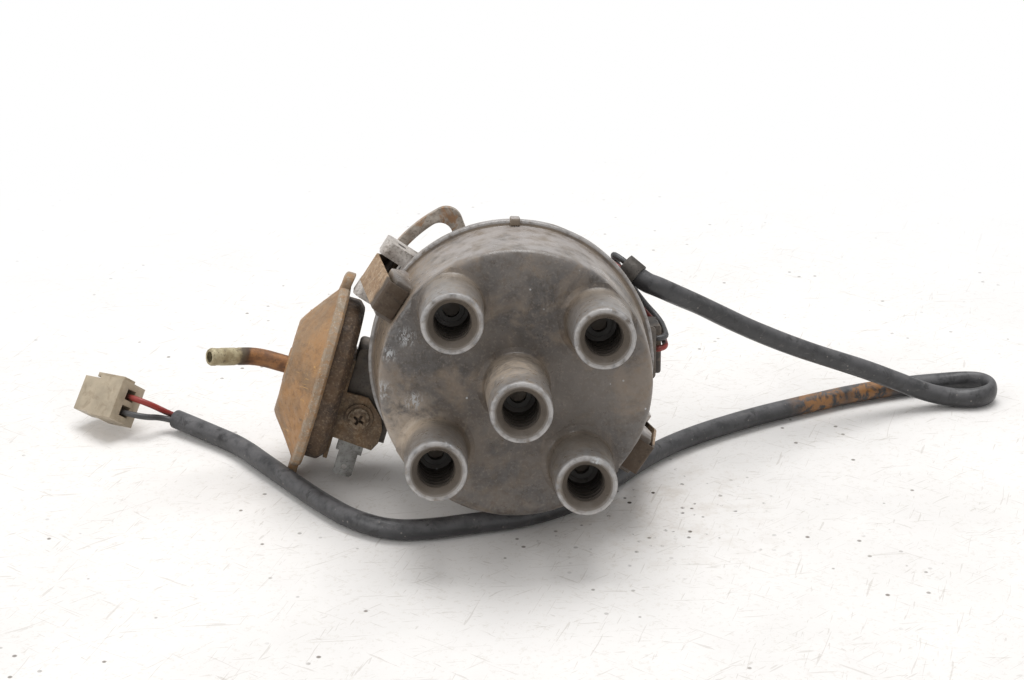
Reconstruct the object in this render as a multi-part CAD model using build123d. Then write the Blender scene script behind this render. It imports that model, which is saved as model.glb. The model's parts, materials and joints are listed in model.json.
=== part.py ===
from build123d import *

import os
from math import asin, atan2, cos, degrees, hypot, radians, sin, tan

# Ignition distributor for a four-cylinder engine: moulded cap with five lead towers, die-cast
# housing, centrifugal and vacuum advance, magnetic pick-up, module, and a sleeved two-wire lead.
# Everything from the housing to the cap is drawn standing up: the shaft is Z, z = 0 is the
# mounting face and the cap is at the top. lay() then turns it into the attitude in which it lies
# on a bench, on the cap's rim and the vacuum canister, and the free lead lies on that bench.

# ---- how it lies -------------------------------------------------------------------------------
LIE_TILT = 10.0  # nose of the cap up from the bench, degrees
GAP = 0.3  # running gap between pieces that must not touch
FIT = 0.03  # radial clearance of a turning or sliding fit
SEAT = 0.02  # radial clearance of a pressed or screwed seat

# ---- mounting: spigot and slotted plate ---------------------------------------------------------
SPIGOT_R = 13.5
SPIGOT_LEN = 24.0
PLATE_T = 3.0
PLATE_R = 28.5
EAR_R = 49.2
EAR_CORNER_R = 5.5
SLOT_PITCH_R = 41.2
SLOT_W = 8.6
UPPER_EAR = (110.0, 144.0)  # clock angles of the two ears
UPPER_SLOT = (122.6, 136.0)
LOWER_EAR = (-51.0, -18.0)
LOWER_SLOT = (-41.0, -29.0)
PLATE_SCREW_R = 22.0
PLATE_SCREW_CLOCKS = (40.0, 220.0)
M4_SHANK_R = 2.0
M4_HEAD_R = 4.0
ORING_Z = -7.5
ORING_SECTION_R = 1.5
ORING_GROOVE_DEPTH = 2.2

# ---- housing ------------------------------------------------------------------------------------
BASE_T = 3.0
WAIST_R = 30.0
WAIST_WALL = 3.5
LEDGE_Z = 13.4
BOWL_R = 40.0
BOWL_BORE_R = 36.0
RIM_Z = 34.0
RIM_R = 40.4
BUSH_BORE_R = 8.0

# ---- cap ----------------------------------------------------------------------------------------
GASKET_T = 1.0
CAP_RIM_R = 45.8
CAP_RIM_T = 3.0
CAP_DEPTH = 35.0
CAP_FOOT_R = 43.8  # skirt just above the rim
CAP_SHOULDER_R = 42.1
CAP_SHOULDER_ROUND = 3.0
CAP_WALL = 4.6
CAP_ROOF = 6.0
REGISTER_T = 2.0
TOWER_CLOCK = -6.41 + 45.0
TOWER_COUNT = 4
TOWER_PITCH_R = 31.76
TOWER_HEIGHT = 24.8
CENTRE_TOWER_HEIGHT = 32.9
TOWER_ROOT_R = 9.9
TOWER_TIP_R = 9.35
TOWER_COVE_R = 2.2
TOWER_LIP_ROUND = 1.5
SOCKET_R = 5.5
SOCKET_MOUTH_R = 7.2
SOCKET_LEAD_IN = 3.2
SOCKET_DEPTH = 21.4
INSERT_R = 4.0
INSERT_BORE_R = 2.6
INSERT_STAND = 0.0  # insert above the floor of its socket
POST_R = 3.0
SPARK_GAP = 0.8
BRUSH_R = 2.2
BRUSH_LEN = 8.4
BRUSH_TRAVEL = 1.5
BRUSH_BOSS_R = 6.0
BRUSH_BOSS_DROP = 8.0

# ---- cap clips ----------------------------------------------------------------------------------
CLIP_CLOCKS = {"upper": 146.8, "lower": -33.7}
CLIP_W = 10.2
CLIP_T = 0.9
CLIP_PIN_R = 1.5
CLIP_PIN_AT = (48.2, 24.0)  # distance from the shaft and height
CLIP_BOW_AT = (54.0, 29.3)
CLIP_BOW_ROUND = 3.0
CLIP_KNEE_R = 48.7
CLIP_TIP_R = 42.0
CLIP_KNEE_ROUND = 0.8
LUG_TOP = 60.2
LUG_HALF_W = 6.5
LUG_TOP_R = 47.2
CLIP_EAR = {"upper": (53.6, 10.4), "lower": (50.9, 7.6)}  # reach and half width of the clevis
CLIP_EAR_Z = (17.5, 29.0)

# ---- shaft, drive and governor --------------------------------------------------------------------
SHAFT_R = 6.0
JOURNAL_R = 4.5
SHAFT_END_Z = -35.0
JOURNAL_TOP = 40.5
BUSH_LEN = 10.0
SEAL_LEN = 5.0
SEAL_GAP = 1.0
THRUST_T = 1.3
DOG_R = 12.4
DOG_HUB_LEN = 10.0
DOG_BLADE_LEN = 6.0
DOG_BLADE_W = 5.5
DOG_BLADE_OFFSET = 1.2
DOG_PIN_R = 1.75
GOV_PLATE_R = 25.3
GOV_PLATE_T = 1.3
WEIGHT_T = 3.2
WEIGHT_PIVOT_R = 19.0
WEIGHT_OUT_R = 21.8
WEIGHT_IN_R = 9.8
WEIGHT_BOSS_R = 4.0
WEIGHT_TAIL = -128.0
WEIGHT_PIN_AT = (-4.0, -12.0)
WEIGHT_PIN_R = 1.4
WEIGHT_SLOT_PLAY = 0.5  # at each side of a weight's pin in the cam's slot
PIVOT_PIN_R = 1.8
CAM_PLATE_T = 1.0
CAM_PLATE_R = 17.0
CAM_R = 7.0
CAM_TOP = 40.2
CAM_FLAT = 5.8
CAM_FLAT_Z = 31.5
CAM_ADVANCE = 12.0

# ---- breaker plates and pick-up -------------------------------------------------------------------
BASE_PLATE_T = 1.2
BASE_PLATE_HOLE_R = 14.2
COLLAR_R = 16.2
COLLAR_H = 2.4
MOVING_PLATE_T = 1.4
MOVING_PLATE_R = 33.4
VACUUM_ADVANCE = 11.0
COIL_IN_R = 17.0
COIL_OUT_R = 21.6
MAGNET_T = 2.2
COIL_H = 6.6
STATOR_T = 1.8
STATOR_LUG_R = 27.5
STATOR_LUG_CLOCKS = (30.0, 120.0)
TOOTH_TIP_R = 13.0
TOOTH_GAP = 0.4
TOOTH_W = 4.4
RELUCTOR_HUB_R = 9.4
RELUCTOR_H = 5.0

# ---- rotor ----------------------------------------------------------------------------------------
ROTOR_HUB_R = 9.6
ROTOR_FOOT_Z = 32.5
ROTOR_HEADROOM = 13.5  # between the top of the rotor's arm and the cap's roof
ROTOR_ARM_T = 4.5
ROTOR_ARM_R = 24.0
ROTOR_ARM_W = 11.0
ROTOR_TAIL_R = 12.5
ELECTRODE_T = 1.2
ELECTRODE_W = 9.0
ROTOR_CLOCK = 38.6

# ---- vacuum canister --------------------------------------------------------------------------------
CAN_CLOCK = 163.0  # the canister's axis, pointing out from the housing
CAN_DISTANCE = 57.1  # shaft to the canister's middle plane
CAN_OFFSET = 26.3  # the rod's line from the shaft
CAN_Z = 17.6
CAN_RIM_R = 31.2
CAN_TAB_R = 35.4  # the rim's two tabs, at the top and the bottom
CAN_TAB_W = 9.0
CAN_SHELL_R = 27.2
CAN_BACK_DEPTH = 8.4
CAN_FRONT_DEPTH = 11.0
CAN_CONE_ROOT_R = 28.8
CAN_CONE_TIP_R = 15.7
CAN_SKIN = 1.0
CAN_CRIMP = 1.7
DIAPHRAGM_T = 0.6
DIAPHRAGM_PLATE_R = 14.0
ROD_W = 5.0
ROD_T = 1.4
ROD_PIN_R = 1.5
NIPPLE_R = 2.9
NIPPLE_BORE_R = 2.15
NIPPLE_RUN = 6.0
NIPPLE_BEND_R = 14.0
NIPPLE_BEND = 34.5
NIPPLE_END = 13.2
NIPPLE_TWIST = -13.0
BRACKET_T = 1.4
BRACKET_SHELF = (32.8, 26.8, 43.4)  # inner edge, upper side and lower side of the shelf
BRACKET_SCREW = (41.2, 33.9)
BRACKET_TAIL = 8.0
PAD_UPPER = 12.0
PAD_LOWER = 40.5
PAD_Z = (8.0, 27.7)
TERMINAL_T = 0.8
TERMINAL_W = 6.3
TERMINAL_SHOULDER_W = 8.6
TERMINAL_END = 54.6
TERMINAL_HOLE_R = 0.9
M5_SHANK_R = 2.4
M5_HEAD_R = 3.6
M5_HEAD_H = 2.4
WASHER_R = 4.7
WASHER_T = 0.8

# ---- ignition module and its lead -------------------------------------------------------------------
MODULE_PAD_X = 43.3
MODULE_PAD_Z = (15.5, 30.0)
MODULE_PAD_HALF = 9.0
SINK_T = 1.6
SINK_REACH = 47.2
SINK_Y = (-8.2, 9.4)
MODULE_X = 49.5
MODULE_Y = (-7.2, 8.6)
MODULE_Z = (12.5, 27.0)
LEAD_R = 1.0
LEAD_Y = (4.6, 1.2)  # where the two leads leave the module

# ---- free lead: its clamp, sleeve, wires and connector, on the bench --------------------------------
CLAMP_AT = (40.0, 25.2, 18.8)
CLAMP_AIM = (0.72, -0.566, 0.327)
CLAMP_W = 6.0
CLAMP_T = 0.9
CLAMP_PAD_CLOCK = 21.0
CLAMP_ARM_R = 42.6
CLAMP_ARM_W = 6.0
CLAMP_ARM_END = 36.0
SLEEVE_R = 3.3
SLEEVE_POCKET = 6.0
SLEEVE_POCKET_R = 2.55
WIRE_R = 1.05
WIRE_SPREAD = 1.25
CONNECTOR_AT = (-129.7, 7.3, -27.25)  # middle of the wire-entry face
CONNECTOR_YAW = 139.2
CONNECTOR_PITCH = 8.1
CONNECTOR_ROLL = 39.2
CONNECTOR_LEN = 20.2
CONNECTOR_W = 10.9
CONNECTOR_H = 14.2
CONNECTOR_COLLAR = 11.5
CONNECTOR_INSET = 0.9
CAVITY_SPLIT = 2.9
CAVITY_HALF = 1.9
ENTRY_DEPTH = 7.0
MOUTH_DEPTH = 8.5
MOUTH_W = 7.0
MOUTH_H = 10.4

# ---- sizes that follow ------------------------------------------------------------------------------
GOV_FLOOR = PLATE_T + BASE_T
CAP_FACE_Z = RIM_Z + GASKET_T + CAP_DEPTH
CAP_RIM_Z = RIM_Z + GASKET_T
CAP_ROOF_Z = CAP_FACE_Z - CAP_ROOF
BENCH_Z = CAP_RIM_Z * sin(radians(LIE_TILT)) - CAP_RIM_R * cos(radians(LIE_TILT))
GOV_PLATE_Z = GOV_FLOOR + THRUST_T - 0.6 + 0.2
WEIGHT_Z = GOV_PLATE_Z + GOV_PLATE_T + GAP
CAM_PLATE_Z = WEIGHT_Z + WEIGHT_T + GAP
BASE_PLATE_TOP = LEDGE_Z + BASE_PLATE_T
MOVING_PLATE_Z = BASE_PLATE_TOP + GAP
MOVING_PLATE_TOP = MOVING_PLATE_Z + MOVING_PLATE_T
COIL_Z = MOVING_PLATE_TOP + MAGNET_T
STATOR_Z = COIL_Z + COIL_H
RELUCTOR_Z = STATOR_Z + STATOR_T - RELUCTOR_H + 1.0
ROTOR_TOP_Z = CAP_ROOF_Z - ROTOR_HEADROOM
ELECTRODE_TOP = ROTOR_TOP_Z + ELECTRODE_T
ROTOR_TIP_R = TOWER_PITCH_R - POST_R - SPARK_GAP
POST_FOOT_Z = ROTOR_TOP_Z - 1.0
BRUSH_Z = ELECTRODE_TOP + 0.2
ROD_Z = MOVING_PLATE_TOP + 0.5
C_MIN = (Align.CENTER, Align.CENTER, Align.MIN)


# ---- small helpers ------------------------------------------------------------------------------------
def disc(radius, z0, z1):
    return Pos(0, 0, z0) * Cylinder(radius, z1 - z0, align=C_MIN)


def ring(outer, inner, z0, z1):
    return disc(outer, z0, z1) - disc(inner, z0 - 1, z1 + 1)


def block(x0, x1, y0, y1, z0, z1):
    return Pos(x0, y0, z0) * Box(x1 - x0, y1 - y0, z1 - z0, align=(Align.MIN,) * 3)


def turned(*points):
    """Solid of revolution about Z from (radius, height) points."""
    return revolve(Plane.XZ * Polygon(*points, align=None), Axis.Z)


def clock(shape, angle):
    """Turns a shape drawn along +X to its clock angle about the shaft."""
    return Rot(0, 0, angle) * shape


def polar(radius, angle):
    return (radius * cos(radians(angle)), radius * sin(radians(angle)))


def sector(outer, inner, start, end, z0, z1):
    """Part of a flat ring between two clock angles less than 180 degrees apart."""
    middle = (start + end) / 2
    reach = 2 * outer
    far = reach / cos(radians((end - start) / 2))
    wedge = Polygon((0, 0), polar(reach, start), polar(far, middle), polar(reach, end), align=None)
    return ring(outer, inner, z0, z1) & (Pos(0, 0, z0) * extrude(wedge, z1 - z0))


def arc_slot(pitch, width, start, end, z0, z1):
    arc = CenterArc((0, 0, 0), pitch, start, end - start)
    return Pos(0, 0, z0) * extrude(SlotArc(arc, width), z1 - z0)


def pan_screw(head_r, head_h, shank_r, shank_len):
    """Pan-head screw with its seat at z = 0 and a cross recess."""
    head = turned(
        (0, 0), (head_r, 0), (head_r, head_h * 0.45), (head_r * 0.72, head_h), (0, head_h)
    )
    recess_depth = head_h * 0.55
    for turn in (45, 135):
        bar = Box(head_r * 1.1, head_r * 0.26, recess_depth, align=(Align.CENTER,) * 2 + (Align.MAX,))
        head -= Pos(0, 0, head_h) * Rot(0, 0, turn) * bar
    return head + disc(shank_r, -shank_len, 0.1)


def lay(shape):
    """From standing on its mounting face to lying on the bench."""
    return Rot(90 - LIE_TILT, 0, 0) * shape


def laid_point(point):
    x, y, z = point
    turn = radians(90 - LIE_TILT)
    return (x, y * cos(turn) - z * sin(turn), y * sin(turn) + z * cos(turn))


def canister_frame(shape):
    """From the canister's own axis (Z, middle plane at 0) to its place on the housing."""
    out = clock(Pos(CAN_DISTANCE, CAN_OFFSET, CAN_Z) * Rot(0, 90, 0), CAN_CLOCK)
    return out * shape


# ---- mounting pieces ------------------------------------------------------------------------------------
def plate_ear(span, slot):
    ear = sector(EAR_R, PLATE_R - 3, span[0], span[1], 0, PLATE_T)
    outer = ear.edges().filter_by(Axis.Z).filter_by(lambda e: hypot(e.center().X, e.center().Y) > PLATE_R)
    ear = fillet(outer, EAR_CORNER_R)
    return ear - arc_slot(SLOT_PITCH_R, SLOT_W, slot[0], slot[1], -1, PLATE_T + 1)


def plate_screw(clearance=0.0):
    head_h = M4_HEAD_R - M4_SHANK_R
    screw = turned(
        (0, 0),
        (M4_HEAD_R + clearance, 0),
        (M4_SHANK_R + clearance, head_h),
        (M4_SHANK_R + clearance, GOV_FLOOR - 0.2 + clearance),
        (0, GOV_FLOOR - 0.2 + clearance),
    )
    return screw


def plate_screw_places():
    return [Pos(*polar(PLATE_SCREW_R, angle), 0) for angle in PLATE_SCREW_CLOCKS]


def fixing_plate():
    plate = disc(PLATE_R, 0, PLATE_T) + plate_ear(UPPER_EAR, UPPER_SLOT) + plate_ear(LOWER_EAR, LOWER_SLOT)
    plate -= disc(SPIGOT_R + SEAT, -1, PLATE_T + 1)
    for place in plate_screw_places():
        plate -= place * plate_screw(SEAT)
    return plate


def fixing_plate_screws():
    cross = Box(M4_HEAD_R * 1.1, 0.9, 1.2, align=C_MIN)
    cross += Box(0.9, M4_HEAD_R * 1.1, 1.2, align=C_MIN)
    return Compound([place * (plate_screw() - cross) for place in plate_screw_places()])


def oring_groove_floor():
    return SPIGOT_R - ORING_GROOVE_DEPTH


def spigot_oring():
    middle = oring_groove_floor() + ORING_SECTION_R + SEAT
    return Pos(0, 0, ORING_Z) * Torus(middle, ORING_SECTION_R)


# ---- housing ----------------------------------------------------------------------------------------------
def bowl():
    chamfer = 0.8
    body = turned(
        (BUSH_BORE_R, -SPIGOT_LEN),
        (SPIGOT_R - chamfer, -SPIGOT_LEN),
        (SPIGOT_R, -SPIGOT_LEN + chamfer),
        (SPIGOT_R, PLATE_T),
        (WAIST_R - 2, PLATE_T),
        (WAIST_R, PLATE_T + 2),
        (WAIST_R, LEDGE_Z - 2.4),
        (BOWL_R - 1, LEDGE_Z + 2),
        (BOWL_R, LEDGE_Z + 3.5),
        (BOWL_R, RIM_Z - 4),
        (RIM_R, RIM_Z - 3),
        (RIM_R, RIM_Z),
        (BOWL_BORE_R, RIM_Z),
        (BOWL_BORE_R, LEDGE_Z),
        (WAIST_R - WAIST_WALL, LEDGE_Z),
        (WAIST_R - WAIST_WALL, GOV_FLOOR),
        (BUSH_BORE_R, GOV_FLOOR),
    )
    half = ORING_SECTION_R + 0.15
    return body - ring(SPIGOT_R + 1, oring_groove_floor(), ORING_Z - half, ORING_Z + half)


def clip_clevis(name):
    reach, half_w = CLIP_EAR[name]
    z0, z1 = CLIP_EAR_Z
    cheek = block(BOWL_R - 2, reach, -half_w, half_w, z0, z1)
    outer = cheek.edges().filter_by(Axis.Y).filter_by(lambda e: e.center().X > BOWL_R)
    cheek = fillet(outer, 2.5)
    slot_half = CLIP_W / 2 + GAP
    curl_r = CLIP_PIN_R + CLIP_T + 2 * GAP
    cheek -= block(CLIP_PIN_AT[0] - curl_r, reach + 1, -slot_half, slot_half, z0 - 1, z1 + 1)
    bore = Rot(90, 0, 0) * Cylinder(CLIP_PIN_R + SEAT, 4 * half_w)
    cheek -= Pos(CLIP_PIN_AT[0], 0, CLIP_PIN_AT[1]) * bore
    return clock(cheek, CLIP_CLOCKS[name])


def vacuum_pad():
    """Boss that carries the canister's bracket, with the window for its rod."""
    outer = CAN_DISTANCE - CAN_BACK_DEPTH - BRACKET_T - 0.2
    pad = block(BOWL_R - 9, outer, PAD_UPPER, PAD_LOWER, *PAD_Z)
    long_edges = pad.edges().filter_by(Axis.Z).filter_by(lambda e: e.center().X > BOWL_R)
    return clock(fillet(long_edges, 1.5), CAN_CLOCK)


def vacuum_window():
    half = ROD_W / 2 + 1.0
    window = block(20, CAN_DISTANCE, CAN_OFFSET - half, CAN_OFFSET + half, ROD_Z - 0.8, ROD_Z + ROD_T + 2.5)
    return clock(window, CAN_CLOCK)


def bracket_screw_bore(clearance):
    n, t = BRACKET_SCREW
    return clock(Pos(n, t, 0) * disc(M5_SHANK_R + clearance, PAD_Z[1] - 9.5, PAD_Z[1] + 5), CAN_CLOCK)


def module_pad():
    return block(BOWL_R - 4, MODULE_PAD_X, -MODULE_PAD_HALF, MODULE_PAD_HALF, *MODULE_PAD_Z)


def clamp_pad():
    boss = Rot(0, 90, 0) * Cylinder(4.2, 6.0, align=C_MIN)
    boss = clock(Pos(BOWL_R - 2, 0, CLAMP_AT[2]) * boss, CLAMP_PAD_CLOCK)
    return boss & disc(CLAMP_ARM_R - SEAT, 0, RIM_Z)


def clamp_screw_place():
    return clock(Pos(CLAMP_ARM_R + CLAMP_T, 0, CLAMP_AT[2]) * Rot(0, 90, 0), CLAMP_PAD_CLOCK)


def base_plate_screw_places():
    return [Pos(*polar(BOWL_BORE_R - 4.2, angle), BASE_PLATE_TOP) for angle in (75.0, 195.0, 315.0)]


def module_screw_places():
    spots = ((MODULE_Y[0] + 3.2, MODULE_Z[0] + 3.2), (MODULE_Y[1] - 3.2, MODULE_Z[0] + 3.2))
    return [Pos(MODULE_X - 2.4, y, z) * Rot(0, 90, 0) for y, z in spots]


def housing():
    body = bowl() + clip_clevis("upper") + clip_clevis("lower")
    body += vacuum_pad() + module_pad() + clamp_pad()
    for angle in (75.0, 255.0, 345.0):
        rib = Plane.XZ * Polygon(
            (WAIST_R - 1, PLATE_T + 1), (WAIST_R + 1.5, PLATE_T + 1), (BOWL_R - 2, LEDGE_Z + 3), (WAIST_R - 1, LEDGE_Z + 3),
            align=None,
        )
        body += clock(extrude(rib, 1.6, both=True), angle)
    body -= disc(BOWL_BORE_R, LEDGE_Z, RIM_Z + 1)
    body -= disc(WAIST_R - WAIST_WALL, GOV_FLOOR, LEDGE_Z + 1)
    body -= vacuum_window()
    body -= bracket_screw_bore(SEAT)
    for place in base_plate_screw_places():
        body -= place * disc(1.5 + SEAT, -BASE_PLATE_T - 1.7, 1)
    for place in plate_screw_places():
        body -= place * plate_screw(SEAT)
    for place in module_screw_places():
        body -= place * disc(1.5 + SEAT, -11.5, 1)
    body -= clamp_screw_place() * disc(1.5 + SEAT, -5.2, 1)
    return body


def bush(z0, z1):
    return ring(BUSH_BORE_R - SEAT, SHAFT_R + FIT, z0, z1)


def oil_seal():
    top = GOV_FLOOR - BUSH_LEN - SEAL_GAP
    body = turned(
        (SHAFT_R + FIT, top - SEAL_LEN / 2 - 0.5),
        (SHAFT_R + 0.9, top - SEAL_LEN),
        (BUSH_BORE_R - SEAT, top - SEAL_LEN),
        (BUSH_BORE_R - SEAT, top),
        (SHAFT_R + 0.9, top),
        (SHAFT_R + FIT, top - SEAL_LEN / 2 + 0.5),
    )
    return body


# ---- cap ----------------------------------------------------------------------------------------------------
def tower(height, root_r, tip_r):
    """Tower standing on the face, with a coved root and a rounded lip, before its socket."""
    lip = TOWER_LIP_ROUND
    cove = TOWER_COVE_R
    side = (tip_r - root_r) / (height - lip - cove)
    points = Polyline((0, -2), (root_r + cove, -2), (root_r + cove, 0))
    cove_arc = ThreePointArc(
        (root_r + cove, 0), (root_r + cove * (1 - sin(radians(45))), cove * (1 - cos(radians(45)))), (root_r, cove)
    )
    wall = Line((root_r, cove), (tip_r, height - lip))
    lip_arc = ThreePointArc(
        (tip_r, height - lip),
        (tip_r - lip * (1 - cos(radians(45))), height - lip + lip * sin(radians(45))),
        (tip_r - lip, height),
    )
    close = Polyline((tip_r - lip, height), (0, height), (0, -2))
    outline = make_face(Plane.XZ * Curve([points, cove_arc, wall, lip_arc, close]))
    assert side < 0
    return revolve(outline, Axis.Z)


def tower_places():
    step = 360.0 / TOWER_COUNT
    return [Pos(*polar(TOWER_PITCH_R, TOWER_CLOCK + step * i), CAP_FACE_Z) for i in range(TOWER_COUNT)]


def socket(height):
    """Lead socket cut down from the mouth of a tower that stands on z = 0."""
    floor_z = height - SOCKET_DEPTH
    return turned(
        (0, floor_z), (SOCKET_R, floor_z), (SOCKET_R, height - SOCKET_LEAD_IN), (SOCKET_MOUTH_R, height),
        (SOCKET_MOUTH_R, height + 1), (0, height + 1),
    )


def cap_shell():
    shell = turned(
        (0, CAP_RIM_Z), (CAP_RIM_R, CAP_RIM_Z), (CAP_RIM_R, CAP_RIM_Z + CAP_RIM_T),
        (CAP_FOOT_R, CAP_RIM_Z + CAP_RIM_T), (CAP_SHOULDER_R, CAP_FACE_Z), (0, CAP_FACE_Z),
    )
    shoulder = shell.edges().filter_by(GeomType.CIRCLE).filter_by(
        lambda e: abs(e.center().Z - CAP_FACE_Z) < 0.01 and abs(e.radius - CAP_SHOULDER_R) < 0.01
    )
    shell = fillet(shoulder, CAP_SHOULDER_ROUND)
    rim_edges = shell.edges().filter_by(GeomType.CIRCLE).filter_by(lambda e: abs(e.radius - CAP_RIM_R) < 0.01)
    return fillet(rim_edges, 0.6)


def cap_lug(angle):
    """Lug on the skirt that a clip hooks over, with its flat above."""
    strip_slope = (CLIP_KNEE_R - CLIP_BOW_AT[0]) / (LUG_TOP - CLIP_BOW_AT[1])
    low = CAP_RIM_Z + 12.0
    low_r = LUG_TOP_R + strip_slope * (low - LUG_TOP)
    outline = Polygon(
        (CAP_SHOULDER_R - 2, CAP_RIM_Z + CAP_RIM_T - 1), (CAP_FOOT_R + 0.8, CAP_RIM_Z + CAP_RIM_T - 1), (low_r, low),
        (LUG_TOP_R, LUG_TOP), (CAP_SHOULDER_R - 2, LUG_TOP),
        align=None,
    )
    return clock(extrude(Plane.XZ * outline, LUG_HALF_W, both=True), angle)


def cap():
    body = cap_shell()
    for angle in CLIP_CLOCKS.values():
        body += cap_lug(angle)
    envelope = disc(CAP_SHOULDER_R - 0.1, CAP_ROOF_Z, CAP_FACE_Z + TOWER_HEIGHT + 1)
    for place in tower_places():
        body += (place * tower(TOWER_HEIGHT, TOWER_ROOT_R, TOWER_TIP_R)) & envelope
    centre = Pos(0, 0, CAP_FACE_Z)
    body += centre * tower(CENTRE_TOWER_HEIGHT, TOWER_ROOT_R, TOWER_TIP_R)
    for angle in CLIP_CLOCKS.values():
        flat = block(CLIP_TIP_R - GAP, CAP_RIM_R + 9, -LUG_HALF_W - 0.6, LUG_HALF_W + 0.6, LUG_TOP, CAP_FACE_Z + 1)
        body -= clock(flat, angle)
    bore_r = CAP_SHOULDER_R - CAP_WALL
    inside = turned(
        (0, CAP_RIM_Z - 1), (BOWL_BORE_R - GAP - REGISTER_T, CAP_RIM_Z - 1),
        (BOWL_BORE_R - GAP - REGISTER_T, CAP_RIM_Z + 3), (bore_r, CAP_RIM_Z + 5), (bore_r - 1, CAP_ROOF_Z - 2),
        (bore_r - 3, CAP_ROOF_Z), (0, CAP_ROOF_Z),
    )
    body -= inside
    body += ring(BOWL_BORE_R - GAP, BOWL_BORE_R - GAP - REGISTER_T, CAP_RIM_Z - 2.5, CAP_RIM_Z + 0.5)
    body += disc(BRUSH_BOSS_R, CAP_ROOF_Z - BRUSH_BOSS_DROP, CAP_ROOF_Z + 0.5)
    for place in tower_places():
        body -= place * socket(TOWER_HEIGHT)
        body -= place * disc(INSERT_R + SEAT, -CAP_ROOF - 1, TOWER_HEIGHT - SOCKET_DEPTH + 0.5)
    body -= centre * socket(CENTRE_TOWER_HEIGHT)
    body -= disc(INSERT_R + SEAT, centre_insert_foot(), CAP_FACE_Z + CENTRE_TOWER_HEIGHT - SOCKET_DEPTH + 0.5)
    body -= disc(BRUSH_R + FIT, CAP_ROOF_Z - BRUSH_BOSS_DROP - 1, centre_insert_foot() + 1)
    return body


def centre_insert_foot():
    return CAP_FACE_Z


def cap_terminals():
    floor_z = TOWER_HEIGHT - SOCKET_DEPTH
    terminal = disc(INSERT_R, -CAP_ROOF, floor_z + INSERT_STAND) + disc(POST_R, POST_FOOT_Z - CAP_FACE_Z, -CAP_ROOF + 0.5)
    terminal -= disc(INSERT_BORE_R, 0, floor_z + INSERT_STAND + 1)
    return Compound([place * terminal for place in tower_places()])


def centre_terminal():
    top = CAP_FACE_Z + CENTRE_TOWER_HEIGHT - SOCKET_DEPTH + INSERT_STAND
    foot = centre_insert_foot()
    body = disc(INSERT_R, foot, top) - disc(INSERT_BORE_R, foot + 6, top + 1)
    return body


def coil_spring(radius, wire_r, height, turns):
    """Open coil along Z from z = 0."""
    pitch = (height - 2 * wire_r) / turns
    path = Pos(0, 0, wire_r) * Helix(pitch, height - 2 * wire_r, radius)
    section = Plane(path @ 0, z_dir=path % 0) * Circle(wire_r)
    return sweep(section, path, is_frenet=True)


def carbon_brush():
    return disc(BRUSH_R, BRUSH_Z, BRUSH_Z + BRUSH_LEN)


def brush_spring():
    z0 = BRUSH_Z + BRUSH_LEN + 0.1
    height = centre_insert_foot() - 0.1 - z0
    return Pos(0, 0, z0) * coil_spring(BRUSH_R - 0.5, 0.25, height, 5)


def cap_gasket():
    return ring(RIM_R - 0.4, BOWL_BORE_R + 0.4, RIM_Z, RIM_Z + GASKET_T)


# ---- clips ------------------------------------------------------------------------------------------------------
def clip_shape():
    """Spring clip in the plane of the shaft: a curl round its pin, a bowed strip and a hook."""
    px, pz = CLIP_PIN_AT
    curl_r = CLIP_PIN_R + FIT + CLIP_T / 2
    dx, dz = CLIP_BOW_AT[0] - px, CLIP_BOW_AT[1] - pz
    leave = degrees(atan2(dz, dx) + asin(curl_r / hypot(dx, dz))) - 90
    wrap = 215.0
    curl = CenterArc((px, pz), curl_r, leave - wrap, wrap)
    hook_z = LUG_TOP + GAP + CLIP_T / 2
    leaf = FilletPolyline(
        curl @ 1, CLIP_BOW_AT, (CLIP_KNEE_R, hook_z), (CLIP_TIP_R, hook_z), radius=[CLIP_BOW_ROUND, CLIP_KNEE_ROUND]
    )
    strip = trace(Curve([curl, leaf]), CLIP_T)
    return extrude(Plane.XZ * strip, CLIP_W / 2, both=True)


def clip_pins():
    pins = []
    for name, angle in CLIP_CLOCKS.items():
        pin = Rot(90, 0, 0) * Cylinder(CLIP_PIN_R, 2 * CLIP_EAR[name][1])
        pins.append(clock(Pos(CLIP_PIN_AT[0], 0, CLIP_PIN_AT[1]) * pin, angle))
    return Compound(pins)


# ---- shaft, drive and governor ------------------------------------------------------------------------------------
def drive_top():
    return -SPIGOT_LEN - 0.2 - THRUST_T - 0.1


def shaft():
    body = disc(SHAFT_R, SHAFT_END_Z, GOV_PLATE_Z + GOV_PLATE_T) + disc(JOURNAL_R, GOV_PLATE_Z, JOURNAL_TOP)
    pin_z = drive_top() - DOG_HUB_LEN / 2
    return body - Pos(0, 0, pin_z) * Rot(0, 90, 0) * Cylinder(DOG_PIN_R + SEAT, 4 * SHAFT_R)


def drive_dog():
    top = drive_top()
    foot = top - DOG_HUB_LEN
    body = disc(DOG_R, foot, top)
    blade = block(-DOG_R, DOG_R, DOG_BLADE_OFFSET - DOG_BLADE_W / 2, DOG_BLADE_OFFSET + DOG_BLADE_W / 2, foot - DOG_BLADE_LEN, foot + 0.5)
    body += blade & disc(DOG_R, foot - DOG_BLADE_LEN, top)
    body = chamfer(body.edges().filter_by(GeomType.CIRCLE).filter_by(lambda e: abs(e.center().Z - top) < 0.01), 0.8)
    body -= disc(SHAFT_R + SEAT, SHAFT_END_Z - 0.2, top + 1)
    return body - Pos(0, 0, top - DOG_HUB_LEN / 2) * Rot(0, 90, 0) * Cylinder(DOG_PIN_R + SEAT, 4 * DOG_R)


def drive_pin():
    return Pos(0, 0, drive_top() - DOG_HUB_LEN / 2) * Rot(0, 90, 0) * Cylinder(DOG_PIN_R, 2 * DOG_R - 1.2)


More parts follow.
